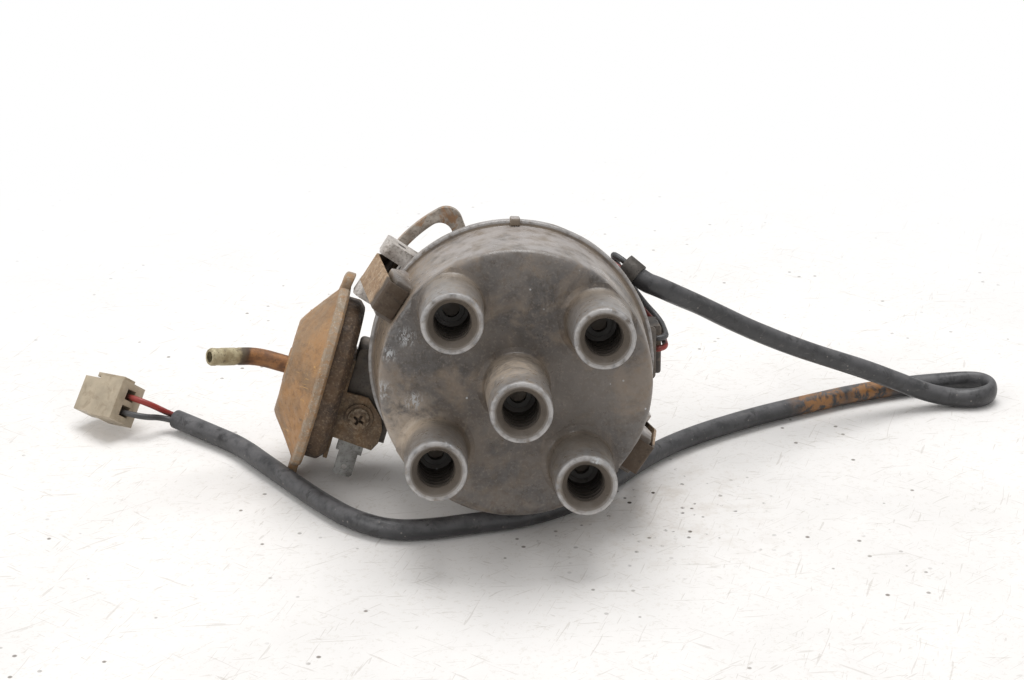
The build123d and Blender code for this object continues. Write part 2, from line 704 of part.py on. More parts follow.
def thrust_washers():
    upper = ring(SHAFT_R + 4, SHAFT_R + FIT, GOV_FLOOR + 0.1, GOV_PLATE_Z - 0.1)
    lower = ring(SHAFT_R + 4.5, SHAFT_R + FIT, -SPIGOT_LEN - 0.1 - THRUST_T, -SPIGOT_LEN - 0.1)
    return Compound([upper, lower])


def governor_plate():
    plate = ring(GOV_PLATE_R, SHAFT_R + SEAT, GOV_PLATE_Z, GOV_PLATE_Z + GOV_PLATE_T)
    for angle in (0, 180):
        pivot = disc(PIVOT_PIN_R, GOV_PLATE_Z, WEIGHT_Z + WEIGHT_T + 0.2)
        plate += Pos(*polar(WEIGHT_PIVOT_R, angle), 0) * pivot
    post = Pos(*spring_posts()[0], 0) * disc(0.7, GOV_PLATE_Z, WEIGHT_Z + WEIGHT_T - 0.4)
    plate += post + Rot(0, 0, 180) * post
    for angle in (90, 270):
        window = sector(18.5, 9.0, angle - 32, angle + 32, GOV_PLATE_Z - 1, GOV_PLATE_Z + GOV_PLATE_T + 1)
        plate -= window
    return plate


def weight():
    z1 = WEIGHT_Z + WEIGHT_T
    body = sector(WEIGHT_OUT_R, WEIGHT_IN_R, WEIGHT_TAIL, 0, WEIGHT_Z, z1)
    pivot = Pos(WEIGHT_PIVOT_R, 0, 0)
    body += pivot * disc(WEIGHT_BOSS_R, WEIGHT_Z, z1)
    body -= pivot * disc(PIVOT_PIN_R + FIT, WEIGHT_Z - 1, z1 + 1)
    body += Pos(*WEIGHT_PIN_AT, 0) * disc(WEIGHT_PIN_R, z1 - 0.5, CAM_PLATE_Z + CAM_PLATE_T + 0.2)
    return body


def spring_posts():
    """Where a governor spring hooks on: the post on the plate and the peg of the cam, at rest."""
    return polar(22.3, 14.0), polar(15.5, 41.0)


def governor_spring():
    """Close-wound tension spring between the two posts, with a ring at each end."""
    (x0, y0), (x1, y1) = spring_posts()
    length = hypot(x1 - x0, y1 - y0)
    wire = 0.4
    ring_r = 1.25
    coil = turned((0, -2.9), (1.4, -2.9), (1.4, 2.9), (0, 2.9))
    for i in range(7):
        coil -= Pos(0, 0, (i - 3) * 0.83) * Torus(1.62, 0.36)
    body = Rot(0, 90, 0) * coil
    body += Rot(0, 90, 0) * Cylinder(wire, length - 2 * ring_r)
    for end in (-1, 1):
        body += Pos(end * length / 2, 0, 0) * Torus(ring_r, wire)
    middle = Pos((x0 + x1) / 2, (y0 + y1) / 2, WEIGHT_Z + WEIGHT_T / 2)
    return middle * Rot(0, 0, degrees(atan2(y1 - y0, x1 - x0))) * body


def cam_sleeve():
    sleeve = disc(CAM_R, CAM_PLATE_Z, CAM_TOP) + disc(CAM_PLATE_R, CAM_PLATE_Z, CAM_PLATE_Z + CAM_PLATE_T)
    pin_r = hypot(*WEIGHT_PIN_AT)
    pin_angle = degrees(atan2(WEIGHT_PIN_AT[1], WEIGHT_PIN_AT[0]))
    slot_half = WEIGHT_PIN_R + WEIGHT_SLOT_PLAY
    for angle in (pin_angle, pin_angle + 180):
        slot = block(pin_r - slot_half, CAM_PLATE_R + 1, -slot_half, slot_half, CAM_PLATE_Z - 1, CAM_PLATE_Z + CAM_PLATE_T + 1)
        sleeve -= clock(slot, angle)
    peg = Pos(*spring_posts()[1], 0) * disc(0.7, WEIGHT_Z + 0.6, CAM_PLATE_Z + 0.2)
    sleeve += peg + Rot(0, 0, 180) * peg
    sleeve -= disc(JOURNAL_R + FIT, CAM_PLATE_Z - 1, CAM_TOP + 1)
    flat = block(CAM_FLAT, CAM_R + 1, -CAM_R - 1, CAM_R + 1, CAM_FLAT_Z, CAM_TOP + 1)
    return sleeve - clock(flat, ROTOR_CLOCK)


def sleeve_screw():
    return Pos(0, 0, JOURNAL_TOP) * (pan_screw(5.6, 1.6, 1.9, 0.05) - disc(7, -1, 0))


# ---- breaker plates and pick-up -------------------------------------------------------------------------------------
def base_plate():
    plate = ring(BOWL_BORE_R - 0.15, BASE_PLATE_HOLE_R, LEDGE_Z, BASE_PLATE_TOP)
    plate += ring(COLLAR_R, BASE_PLATE_HOLE_R, LEDGE_Z, BASE_PLATE_TOP + COLLAR_H)
    for place in base_plate_screw_places():
        plate -= place * disc(1.5 + SEAT, -BASE_PLATE_T - 1, 1)
    for angle in (15.0, 135.0, 255.0):
        plate -= sector(29.0, 20.5, angle - 24, angle + 24, LEDGE_Z - 1, BASE_PLATE_TOP + 0.01)
    return plate


def base_plate_screws():
    screw = pan_screw(2.5, 1.3, 1.5, BASE_PLATE_T + 1.5)
    return Compound([place * screw for place in base_plate_screw_places()])


def moving_plate():
    z0, z1 = MOVING_PLATE_Z, MOVING_PLATE_TOP
    plate = ring(MOVING_PLATE_R, COLLAR_R + FIT, z0, z1)
    for place in base_plate_screw_places():
        x, y, _ = place.position
        middle = degrees(atan2(y, x))
        plate -= sector(BOWL_BORE_R + 1, 27.6, middle - 7 - VACUUM_ADVANCE, middle + 7 + VACUUM_ADVANCE, z0 - 1, z1 + 1)
    pin = clock(Pos(0, CAN_OFFSET, 0) * disc(ROD_PIN_R, z0, ROD_Z + ROD_T + 0.4), CAN_CLOCK)
    return plate + pin


def pickup_magnet():
    return ring(COIL_OUT_R, COIL_IN_R + 0.5, MOVING_PLATE_TOP, COIL_Z)


def pickup_coil():
    flange = 0.9
    z0, z1 = COIL_Z, STATOR_Z
    return turned(
        (COIL_IN_R, z0), (COIL_OUT_R, z0), (COIL_OUT_R, z0 + flange), (COIL_OUT_R - 0.8, z0 + flange),
        (COIL_OUT_R - 0.8, z1 - flange), (COIL_OUT_R, z1 - flange), (COIL_OUT_R, z1), (COIL_IN_R, z1),
    )


def stator():
    z0, z1 = STATOR_Z, STATOR_Z + STATOR_T
    body = ring(COIL_OUT_R, COIL_IN_R, z0, z1)
    for i in range(TOWER_COUNT):
        tooth = block(TOOTH_TIP_R, COIL_IN_R + 1, -TOOTH_W / 2, TOOTH_W / 2, z0, z1)
        tooth -= disc(TOOTH_TIP_R + TOOTH_GAP, z0 - 1, z1 + 1)
        body += clock(tooth, ROTOR_CLOCK + i * 360 / TOWER_COUNT)
    for angle in STATOR_LUG_CLOCKS:
        lug = block(COIL_OUT_R - 1, STATOR_LUG_R, -3.2, 3.2, z0, z1)
        lug += Pos(STATOR_LUG_R, 0, 0) * disc(3.2, MOVING_PLATE_TOP, z1)
        lug -= Pos(STATOR_LUG_R, 0, 0) * disc(1.3 + SEAT, MOVING_PLATE_TOP - 1, z1 + 1)
        body += clock(lug, angle)
    return body


def stator_screws():
    z1 = STATOR_Z + STATOR_T
    screw = pan_screw(2.4, 1.3, 1.3, z1 - MOVING_PLATE_TOP - 0.1)
    return Compound([Pos(*polar(STATOR_LUG_R, angle), z1) * screw for angle in STATOR_LUG_CLOCKS])


def reluctor():
    z0, z1 = RELUCTOR_Z, RELUCTOR_Z + RELUCTOR_H
    body = disc(RELUCTOR_HUB_R, z0, z1)
    for i in range(TOWER_COUNT):
        tooth = block(0, TOOTH_TIP_R + 1, -TOOTH_W / 2, TOOTH_W / 2, z0, z1) & disc(TOOTH_TIP_R, z0, z1)
        body += clock(tooth, ROTOR_CLOCK + i * 360 / TOWER_COUNT)
    return body - disc(CAM_R + SEAT, z0 - 1, z1 + 1)


# ---- rotor ------------------------------------------------------------------------------------------------------------
def rotor_arm():
    foot_z, top_z = ROTOR_FOOT_Z, ROTOR_TOP_Z
    body = disc(ROTOR_HUB_R, foot_z, top_z)
    arm_z = top_z - ROTOR_ARM_T
    half = ROTOR_ARM_W / 2
    arm = Polygon((0, ROTOR_HUB_R - 1), (ROTOR_ARM_R, half), (ROTOR_ARM_R, -half), (0, 1 - ROTOR_HUB_R), align=None)
    body += Pos(0, 0, arm_z) * extrude(arm, ROTOR_ARM_T)
    body += sector(ROTOR_TAIL_R, 0.5, 125, 235, arm_z, top_z)
    rib = block(ROTOR_HUB_R - 2, ROTOR_ARM_R - 5, -1.2, 1.2, arm_z - 3.5, arm_z + 0.5)
    body += rib
    sleeve_bore = disc(CAM_R + SEAT, foot_z - 1, CAM_TOP + 3.0)
    flat = block(CAM_FLAT + SEAT, CAM_R + 2, -CAM_R - 2, CAM_R + 2, foot_z - 1, CAM_TOP + 4.0)
    body -= sleeve_bore - flat
    body -= Pos(15.0, 0, 0) * disc(1.3 + SEAT, arm_z - 5, top_z + 1)
    return clock(body, ROTOR_CLOCK)


def rotor_electrode():
    z0, z1 = ROTOR_TOP_Z, ELECTRODE_TOP
    half = ELECTRODE_W / 2
    strip = block(0, ROTOR_TIP_R + 1, -half, half, z0, z1) & disc(ROTOR_TIP_R, z0, z1)
    strip += disc(half, z0, z1)
    strip -= Pos(15.0, 0, 0) * disc(1.3 + SEAT, z0 - 1, z1 + 1)
    return clock(strip, ROTOR_CLOCK)


def rotor_screw():
    screw = pan_screw(2.5, 1.3, 1.3, ROTOR_ARM_T + ELECTRODE_T)
    return clock(Pos(15.0, 0, ELECTRODE_TOP) * screw, ROTOR_CLOCK)


# ---- vacuum canister, drawn along its own axis -----------------------------------------------------------------------
def canister_back():
    """Rear half shell with its rim clamped by the front half's crimp."""
    d, r, s = CAN_BACK_DEPTH, CAN_SHELL_R, CAN_SKIN
    rim = CAN_RIM_R - 1.3
    outer = ((4.0, -d), (r - 2, -d), (r, -d + 2), (r, -1.5), (rim, -1.5), (rim, -0.5))
    inner = ((r - s, -0.5), (r - s, -d + 2.4), (r - 2.4, -d + s), (4.0, -d + s))
    return canister_frame(turned(*outer, *inner))


def canister_front():
    """Conical front shell whose edge is crimped round the rear shell's rim."""
    s = CAN_SKIN
    rim_in = CAN_RIM_R - 1.2
    cone_r, tip_r, d = CAN_CONE_ROOT_R, CAN_CONE_TIP_R, CAN_FRONT_DEPTH
    outer = (
        (rim_in - 1.4, -CAN_CRIMP - 0.4), (CAN_RIM_R - 0.7, -CAN_CRIMP - 0.4), (CAN_RIM_R, -CAN_CRIMP + 0.3), (CAN_RIM_R, 0.9),
        (CAN_RIM_R - 0.7, 1.5), (cone_r, 1.5), (tip_r, d), (NIPPLE_R + SEAT, d),
    )
    inner = (
        (NIPPLE_R + SEAT, d - s), (tip_r - 0.5, d - s), (cone_r - 0.8, 0.5), (rim_in, 0.5), (rim_in, -CAN_CRIMP + 0.1),
        (rim_in - 1.4, -CAN_CRIMP + 0.1),
    )
    shell = turned(*outer, *inner)
    tab = block(-CAN_TAB_W / 2, CAN_TAB_W / 2, CAN_RIM_R - 0.8, CAN_TAB_R, -CAN_CRIMP, 1.4)
    ends = tab.edges().filter_by(Axis.Z).filter_by(lambda e: e.center().Y > CAN_TAB_R - 0.1)
    tab = fillet(ends, 2.6)
    return canister_frame(shell + tab + Rot(0, 0, 180) * tab)


def diaphragm():
    half = DIAPHRAGM_T / 2
    rim = CAN_RIM_R - 1.5
    profile = turned(
        (0, -half), (DIAPHRAGM_PLATE_R + 1, -half), (DIAPHRAGM_PLATE_R + 4, 1.6 - half), (CAN_SHELL_R - 3, 1.2 - half),
        (CAN_SHELL_R, -half), (rim, -half), (rim, half), (CAN_SHELL_R, half), (CAN_SHELL_R - 3, 1.2 + half),
        (DIAPHRAGM_PLATE_R + 4, 1.6 + half), (DIAPHRAGM_PLATE_R + 1, half), (0, half),
    )
    return canister_frame(profile)


def diaphragm_spring():
    z0 = DIAPHRAGM_T / 2 + 0.1
    height = CAN_FRONT_DEPTH - CAN_SKIN - 0.2 - z0
    return canister_frame(Pos(0, 0, z0) * coil_spring(9.0, 0.7, height, 4))


def link_rod():
    """Diaphragm plate, flat rod and the eye that sits on the moving plate's pin."""
    plate_z = CAN_DISTANCE - DIAPHRAGM_T / 2 - 0.1
    plate = Rot(0, 90, 0) * Cylinder(DIAPHRAGM_PLATE_R, 1.0, align=C_MIN)
    body = Pos(plate_z - 1.0, CAN_OFFSET, CAN_Z) * plate
    half = ROD_W / 2
    body += block(0, plate_z - 0.5, CAN_OFFSET - half, CAN_OFFSET + half, ROD_Z, ROD_Z + ROD_T)
    eye = Pos(0, CAN_OFFSET, 0) * disc(ROD_PIN_R + 1.7, ROD_Z, ROD_Z + ROD_T)
    eye += block(0, 5, CAN_OFFSET - ROD_PIN_R - 1.2, CAN_OFFSET + half, ROD_Z, ROD_Z + ROD_T)
    body += eye
    slack = ROD_PIN_R + 0.12
    drop = CAN_OFFSET * (1 - cos(radians(VACUUM_ADVANCE)))
    hole = Pos(0, CAN_OFFSET, 0) * disc(slack, ROD_Z - 1, ROD_Z + ROD_T + 1)
    hole += Pos(0, CAN_OFFSET - drop, 0) * disc(slack, ROD_Z - 1, ROD_Z + ROD_T + 1)
    hole += block(-slack, slack, CAN_OFFSET - drop, CAN_OFFSET, ROD_Z - 1, ROD_Z + ROD_T + 1)
    return clock(body - hole, CAN_CLOCK)


def nipple_tube():
    d = CAN_FRONT_DEPTH
    turn = radians(NIPPLE_BEND)
    start = (0, 0, d - CAN_SKIN)
    corner_up = d + NIPPLE_RUN + NIPPLE_BEND_R * tan(turn / 2)
    reach = NIPPLE_BEND_R * tan(turn / 2) + NIPPLE_END
    corner = (0, 0, corner_up)
    end = (-reach * sin(turn), 0, corner_up + reach * cos(turn))
    path = FilletPolyline(start, corner, end, radius=NIPPLE_BEND_R)
    section = Circle(NIPPLE_R) - Circle(NIPPLE_BORE_R)
    tube = sweep(Plane(start, z_dir=(0, 0, 1)) * section, path)
    braze = ring(NIPPLE_R + 0.6, NIPPLE_R - 0.2, d, d + 0.6)
    return canister_frame(Rot(0, 0, NIPPLE_TWIST) * (tube + braze))


def vacuum_bracket():
    inner, upper, lower = BRACKET_SHELF
    outer = CAN_DISTANCE - CAN_BACK_DEPTH
    z0 = PAD_Z[1] + TERMINAL_T
    z1 = z0 + BRACKET_T
    shelf = Polygon(
        (inner, upper + 9), (inner + 1.5, upper + 5), (inner + 7, upper), (outer, upper), (outer, lower - 1), (inner + 1.5, lower), (inner, lower - 3),
        align=None,
    )
    body = Pos(0, 0, z0) * extrude(shelf, BRACKET_T)
    body += block(outer - BRACKET_T, outer, PAD_UPPER + 4, lower - 1, PAD_Z[0] + 1, z1)
    body += block(outer - BRACKET_T, outer, lower - 2, lower + BRACKET_TAIL, PAD_Z[0] + 1, z1 - 5)
    n, t = BRACKET_SCREW
    body -= Pos(n, t, 0) * disc(M5_SHANK_R + SEAT, z0 - 1, z1 + 1)
    rod_hole = Pos(outer - BRACKET_T - 1, CAN_OFFSET, CAN_Z) * Rot(0, 90, 0) * Cylinder(4.0, BRACKET_T + 2, align=C_MIN)
    return clock(body - rod_hole, CAN_CLOCK)


def earth_terminal():
    n, t = BRACKET_SCREW
    z0 = PAD_Z[1]
    half, shoulder = TERMINAL_W / 2, TERMINAL_SHOULDER_W / 2
    body = Pos(n, t, 0) * disc(M5_SHANK_R + 2.4, z0, z0 + TERMINAL_T)
    body += block(n - shoulder, n + shoulder, t, 46.5, z0, z0 + TERMINAL_T)
    blade = block(n - half, n + half, 45, TERMINAL_END, z0, z0 + TERMINAL_T)
    tip = blade.edges().filter_by(Axis.Z).filter_by(lambda e: e.center().Y > TERMINAL_END - 0.1)
    body += chamfer(tip, 0.9)
    body -= Pos(n, t, 0) * disc(M5_SHANK_R + SEAT, z0 - 1, z0 + 2)
    body -= Pos(n, TERMINAL_END - 3.0, 0) * disc(TERMINAL_HOLE_R, z0 - 1, z0 + 2)
    return clock(body, CAN_CLOCK)


def bracket_screw():
    n, t = BRACKET_SCREW
    z = PAD_Z[1] + TERMINAL_T + BRACKET_T + WASHER_T
    return clock(Pos(n, t, z) * pan_screw(M5_HEAD_R, M5_HEAD_H, M5_SHANK_R, z - PAD_Z[1] + 9.0), CAN_CLOCK)


def bracket_washer():
    n, t = BRACKET_SCREW
    z = PAD_Z[1] + TERMINAL_T + BRACKET_T
    return clock(Pos(n, t, 0) * ring(WASHER_R, M5_SHANK_R + SEAT, z, z + WASHER_T), CAN_CLOCK)


# ---- ignition module ---------------------------------------------------------------------------------------------------
def heat_sink():
    front = block(RIM_R + 0.2, SINK_REACH, *SINK_Y, MODULE_PAD_Z[1], MODULE_PAD_Z[1] + SINK_T)
    corners = front.edges().filter_by(Axis.Z).filter_by(lambda e: e.center().X > RIM_R + 1)
    front = fillet(corners, 1.8)
    back = block(MODULE_PAD_X, MODULE_PAD_X + SINK_T, *SINK_Y, MODULE_Z[0], MODULE_PAD_Z[1] + SINK_T)
    for place in module_screw_places():
        back -= place * disc(1.5 + SEAT, -11.5, 1)
    return front + back


def ignition_module():
    x0 = MODULE_PAD_X + SINK_T
    body = block(x0, MODULE_X, *MODULE_Y, *MODULE_Z)
    body = fillet(body.edges().filter_by(lambda e: e.center().X > MODULE_X - 0.01), 1.0)
    for place in module_screw_places():
        body -= place * disc(3.2, 0, 5)
        body -= place * disc(1.5 + SEAT, -11.5, 1)
    for y in LEAD_Y:
        body -= Pos(lead_x(), y, 0) * disc(LEAD_R + SEAT, MODULE_Z[1] - 3, MODULE_Z[1] + 1)
    return body


def module_screws():
    screw = pan_screw(2.7, 1.5, 1.5, 8.5)
    return Compound([place * screw for place in module_screw_places()])


def lead_x():
    return MODULE_PAD_X + SINK_T + 1.6


def tube_along(points, radii, radius):
    path = FilletPolyline(*points, radius=radii)
    section = Plane(path @ 0, z_dir=path % 0) * Circle(radius)
    return sweep(section, path), path.length


def soft_radii(points, share=0.45):
    """Each arc as large as its two runs allow."""
    radii = []
    for a, b, c in zip(points, points[1:], points[2:]):
        a, b, c = Vector(*a), Vector(*b), Vector(*c)
        turn = radians((b - a).get_angle(c - b))
        radii.append(share * min((b - a).length, (c - b).length) / tan(turn / 2))
    return radii


def lead_points(index):
    """Route of a module lead, standing frame: out of the module, round its side, and into the sleeve."""
    y = LEAD_Y[index]
    z = MODULE_Z[1]
    outside = MODULE_X + LEAD_R + 0.4
    aim = Vector(*CLAMP_AIM).normalized()
    side = aim.cross(Vector(0, 0, 1)).normalized() * (WIRE_SPREAD if index else -WIRE_SPREAD)
    mouth = Vector(*CLAMP_AT) - aim * (CLAMP_W / 2) + side
    back = mouth - aim * 4.5
    end = mouth + aim * (SLEEVE_POCKET - 0.4)
    top = [(lead_x(), y, z - 2.8), (lead_x(), y, z + 1.7), (outside, y + 0.6, z + 1.6)]
    if index == 0:
        round_the_side = [(outside + 0.2, 5.8, 21.6), (outside, 7.0, 10.4), (44.6, 13.4, 6.6), (34.6, 28.6, 9.8)]
    else:
        round_the_side = [(outside + 0.2, 2.6, 19.6), (outside, 3.8, 8.6), (43.6, 11.6, 4.8), (32.8, 25.2, 7.8)]
    return top + round_the_side + [tuple(back), tuple(end)]


# ---- free lead on the bench ----------------------------------------------------------------------------------------------
def clamp_line(along):
    aim = Vector(*CLAMP_AIM).normalized()
    spot = Vector(*CLAMP_AT) + aim * along
    return laid_point((spot.X, spot.Y, spot.Z))


ON_BENCH = BENCH_Z + SLEEVE_R + 0.1  # height of the sleeve's middle where it lies


def sleeve_points():
    """Route of the sleeve: clamp, down to a fold on the bench, back under the cap, to its open end."""
    return [
        clamp_line(-CLAMP_W / 2),
        clamp_line(CLAMP_W / 2 + 2.6),
        (48.6, -16.4, 23.5),
        (55.0, -13.2, 19.3),
        (63.6, -8.4, 13.9),
        (76.2, -2.6, 5.3),
        (90.0, 2.8, -3.0),
        (105.0, 8.6, -11.0),
        (121.0, 14.6, -18.6),
        (137.0, 19.6, -26.4),
        (151.0, 22.0, -33.2),
        (160.5, 23.0, ON_BENCH),
        (170.0, 20.8, ON_BENCH),
        (177.2, 26.0, ON_BENCH),
        (175.0, 34.6, ON_BENCH),
        (166.0, 37.2, ON_BENCH),
        (154.0, 35.6, ON_BENCH),
        (139.8, 32.0, ON_BENCH),
        (123.3, 25.9, ON_BENCH),
        (106.8, 18.2, ON_BENCH),
        (88.3, 9.2, ON_BENCH),
        (72.2, -0.6, ON_BENCH),
        (57.6, -11.0, ON_BENCH),
        (46.0, -22.4, ON_BENCH),
        (36.6, -34.4, ON_BENCH),
        (27.6, -46.2, ON_BENCH),
        (16.0, -57.2, ON_BENCH),
        (1.6, -64.8, ON_BENCH),
        (-13.0, -67.8, ON_BENCH),
        (-26.4, -71.2, ON_BENCH),
        (-38.6, -71.8, ON_BENCH),
        (-50.0, -65.2, ON_BENCH),
        (-59.8, -54.0, ON_BENCH),
        (-70.2, -39.4, ON_BENCH),
        (-80.6, -24.2, ON_BENCH),
        (-89.6, -10.6, ON_BENCH),
        (-98.6, -2.0, ON_BENCH),
        (-106.5, 4.8, ON_BENCH + 0.4),
        (-113.7, 10.6, ON_BENCH + 0.8),
    ]


def wire_points(index):
    """Route of a wire from inside the sleeve's end to its cavity in the connector."""
    ends = sleeve_points()[-2:]
    a, b = Vector(*ends[0]), Vector(*ends[1])
    aim = (b - a).normalized()
    side = aim.cross(Vector(0, 0, 1)).normalized() * (-WIRE_SPREAD if index else WIRE_SPREAD)
    into = connector_axis()
    entry = Vector(*connector_point(0, 0, CAVITY_SPLIT * (1 if index == 0 else -1)))
    start = b - aim * (SLEEVE_POCKET - 0.3) + side
    return [
        tuple(start),
        tuple(b + aim * 3.5 + side),
        tuple(entry - into * 6.0 + Vector(0.8, -0.6, -1.0)),
        tuple(entry + into * (ENTRY_DEPTH - 0.4)),
    ]


def connector_frame():
    place = Pos(*CONNECTOR_AT) * Rot(0, 0, CONNECTOR_YAW) * Rot(0, CONNECTOR_PITCH, 0) * Rot(CONNECTOR_ROLL, 0, 0)
    return place


def connector_point(along, across, up):
    return tuple((connector_frame() * Pos(along, across, up)).position)


def connector_axis():
    return Vector(*connector_point(1, 0, 0)) - Vector(*connector_point(0, 0, 0))


def connector():
    w, h, c = CONNECTOR_W / 2, CONNECTOR_H / 2, CONNECTOR_COLLAR
    inset = CONNECTOR_INSET
    body = block(0, c, -w, w, -h, h)
    body += block(c - 0.1, CONNECTOR_LEN, -w + inset, w - inset, -h + inset, h - inset)
    body += block(3.0, c + 5.0, -2.6, 2.6, h - 0.1, h + 1.5)
    body -= block(CONNECTOR_LEN - MOUTH_DEPTH, CONNECTOR_LEN + 1, -MOUTH_W / 2, MOUTH_W / 2, -MOUTH_H / 2, MOUTH_H / 2)
    for side in (1, -1):
        z = side * CAVITY_SPLIT
        body -= block(-1, ENTRY_DEPTH, -CAVITY_HALF, CAVITY_HALF, z - CAVITY_HALF, z + CAVITY_HALF)
        body -= block(ENTRY_DEPTH - 0.1, CONNECTOR_LEN - MOUTH_DEPTH + 0.1, -1.6, 1.6, z - 0.45, z + 0.45)
    return connector_frame() * body


def connector_terminals():
    blades = []
    for side in (1, -1):
        blade = block(ENTRY_DEPTH + 0.1, CONNECTOR_LEN - 1.5, -1.5, 1.5, side * CAVITY_SPLIT - 0.35, side * CAVITY_SPLIT + 0.35)
        blades.append(connector_frame() * blade)
    return Compound(blades)


def lead_clamp():
    """Rolled steel clamp: a band round the sleeve on an arm screwed to the housing."""
    aim = Vector(*CLAMP_AIM).normalized()
    band = ring(SLEEVE_R + SEAT + CLAMP_T, SLEEVE_R + SEAT, -CLAMP_W / 2, CLAMP_W / 2)
    place = Plane(CLAMP_AT, z_dir=aim)
    z = CLAMP_AT[2]
    arm = sector(CLAMP_ARM_R + CLAMP_T, CLAMP_ARM_R, CLAMP_PAD_CLOCK - 6, CLAMP_ARM_END, z - CLAMP_ARM_W / 2, z + CLAMP_ARM_W / 2)
    arm -= clamp_screw_place() * disc(1.5 + SEAT, -6, 6)
    core = place * disc(SLEEVE_R + SEAT, -CLAMP_W, CLAMP_W)
    return place * band + (arm - core)


def clamp_screw():
    return clamp_screw_place() * pan_screw(3.0, 1.6, 1.5, 5.0)


def sleeve():
    points = sleeve_points()
    radii = soft_radii(points)
    body, length = tube_along(points, radii, SLEEVE_R)
    start, second = Vector(*points[0]), Vector(*points[1])
    last, before = Vector(*points[-1]), Vector(*points[-2])
    for spot, inward in ((start, second - start), (last, before - last)):
        pocket = Plane(tuple(spot), z_dir=inward) * disc(SLEEVE_POCKET_R, -1, SLEEVE_POCKET)
        body -= pocket
    return body, length, radii


def report_route(name, length, radii, radius):
    print(name, "length", round(length, 1), "tightest", round(min(radii), 1), "in diameters", round(min(radii) / radius / 2, 2))
    print("   radii", " ".join(f"{r:.0f}" for r in radii))


# ---- the whole distributor -----------------------------------------------------------------------------------------------
def standing_parts():
    """Every piece drawn with the shaft along Z, by node name."""
    seal_foot = -SPIGOT_LEN
    return {
        "fixing_plate": fixing_plate(),
        "fixing_plate_screws": fixing_plate_screws(),
        "spigot_oring": spigot_oring(),
        "housing": housing(),
        "upper_bush": bush(GOV_FLOOR - BUSH_LEN, GOV_FLOOR),
        "lower_bush": bush(seal_foot, seal_foot + BUSH_LEN),
        "oil_seal": oil_seal(),
        "cap": cap(),
        "cap_gasket": cap_gasket(),
        "cap_terminals": cap_terminals(),
        "centre_terminal": centre_terminal(),
        "carbon_brush": carbon_brush(),
        "brush_spring": brush_spring(),
        "clip_upper": clock(clip_shape(), CLIP_CLOCKS["upper"]),
        "clip_lower": clock(clip_shape(), CLIP_CLOCKS["lower"]),
        "clip_pins": clip_pins(),
        "shaft": shaft(),
        "drive_dog": drive_dog(),
        "drive_pin": drive_pin(),
        "thrust_washers": thrust_washers(),
        "governor_plate": governor_plate(),
        "weight_a": weight(),
        "weight_b": Rot(0, 0, 180) * weight(),
        "governor_springs": Compound([governor_spring(), Rot(0, 0, 180) * governor_spring()]),
        "cam_sleeve": cam_sleeve(),
        "sleeve_screw": sleeve_screw(),
        "base_plate": base_plate(),
        "base_plate_screws": base_plate_screws(),
        "moving_plate": moving_plate(),
        "pickup_magnet": pickup_magnet(),
        "pickup_coil": pickup_coil(),
        "stator": stator(),
        "stator_screws": stator_screws(),
        "reluctor": reluctor(),
        "rotor_arm": rotor_arm(),
        "rotor_electrode": rotor_electrode(),
        "rotor_screw": rotor_screw(),
        "canister_back": canister_back(),
        "canister_front": canister_front(),
        "diaphragm": diaphragm(),
        "diaphragm_spring": diaphragm_spring(),
        "link_rod": link_rod(),
        "nipple_tube": nipple_tube(),
        "vacuum_bracket": vacuum_bracket(),
        "earth_terminal": earth_terminal(),
        "bracket_screw": bracket_screw(),
        "bracket_washer": bracket_washer(),
        "heat_sink": heat_sink(),
        "ignition_module": ignition_module(),
        "module_screws": module_screws(),
        "lead_clamp": lead_clamp(),
        "clamp_screw": clamp_screw(),
    }


def main():
    os.makedirs("parts", exist_ok=True)
    parts = {name: lay(shape) for name, shape in standing_parts().items()}
    for index, name in enumerate(("module_lead_grey", "module_lead_red")):
        points = lead_points(index)
        radii = soft_radii(points)
        body, length = tube_along(points, radii, LEAD_R)
        parts[name] = lay(body)
        report_route(name, length, radii, LEAD_R)
    parts["sleeve"], length, radii = sleeve()
    report_route("sleeve", length, radii, SLEEVE_R)
    for index, name in enumerate(("wire_red", "wire_grey")):
        points = wire_points(index)
        radii = soft_radii(points)
        parts[name], length = tube_along(points, radii, WIRE_R)
        report_route(name, length, radii, WIRE_R)
    parts["connector"] = connector()
    parts["connector_terminals"] = connector_terminals()
    for name, shape in parts.items():
        export_step(shape, f"parts/{name}.step")
    print("pieces", len(parts), "bench height", round(BENCH_Z, 2))


main()
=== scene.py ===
"""Looks of an ignition distributor that lies on a bench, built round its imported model."""

import json
from math import cos, hypot, pi, radians, sin

import bmesh
import bpy
from bpy.props import FloatProperty, FloatVectorProperty, IntProperty, PointerProperty
from mathutils import Matrix, Vector, noise


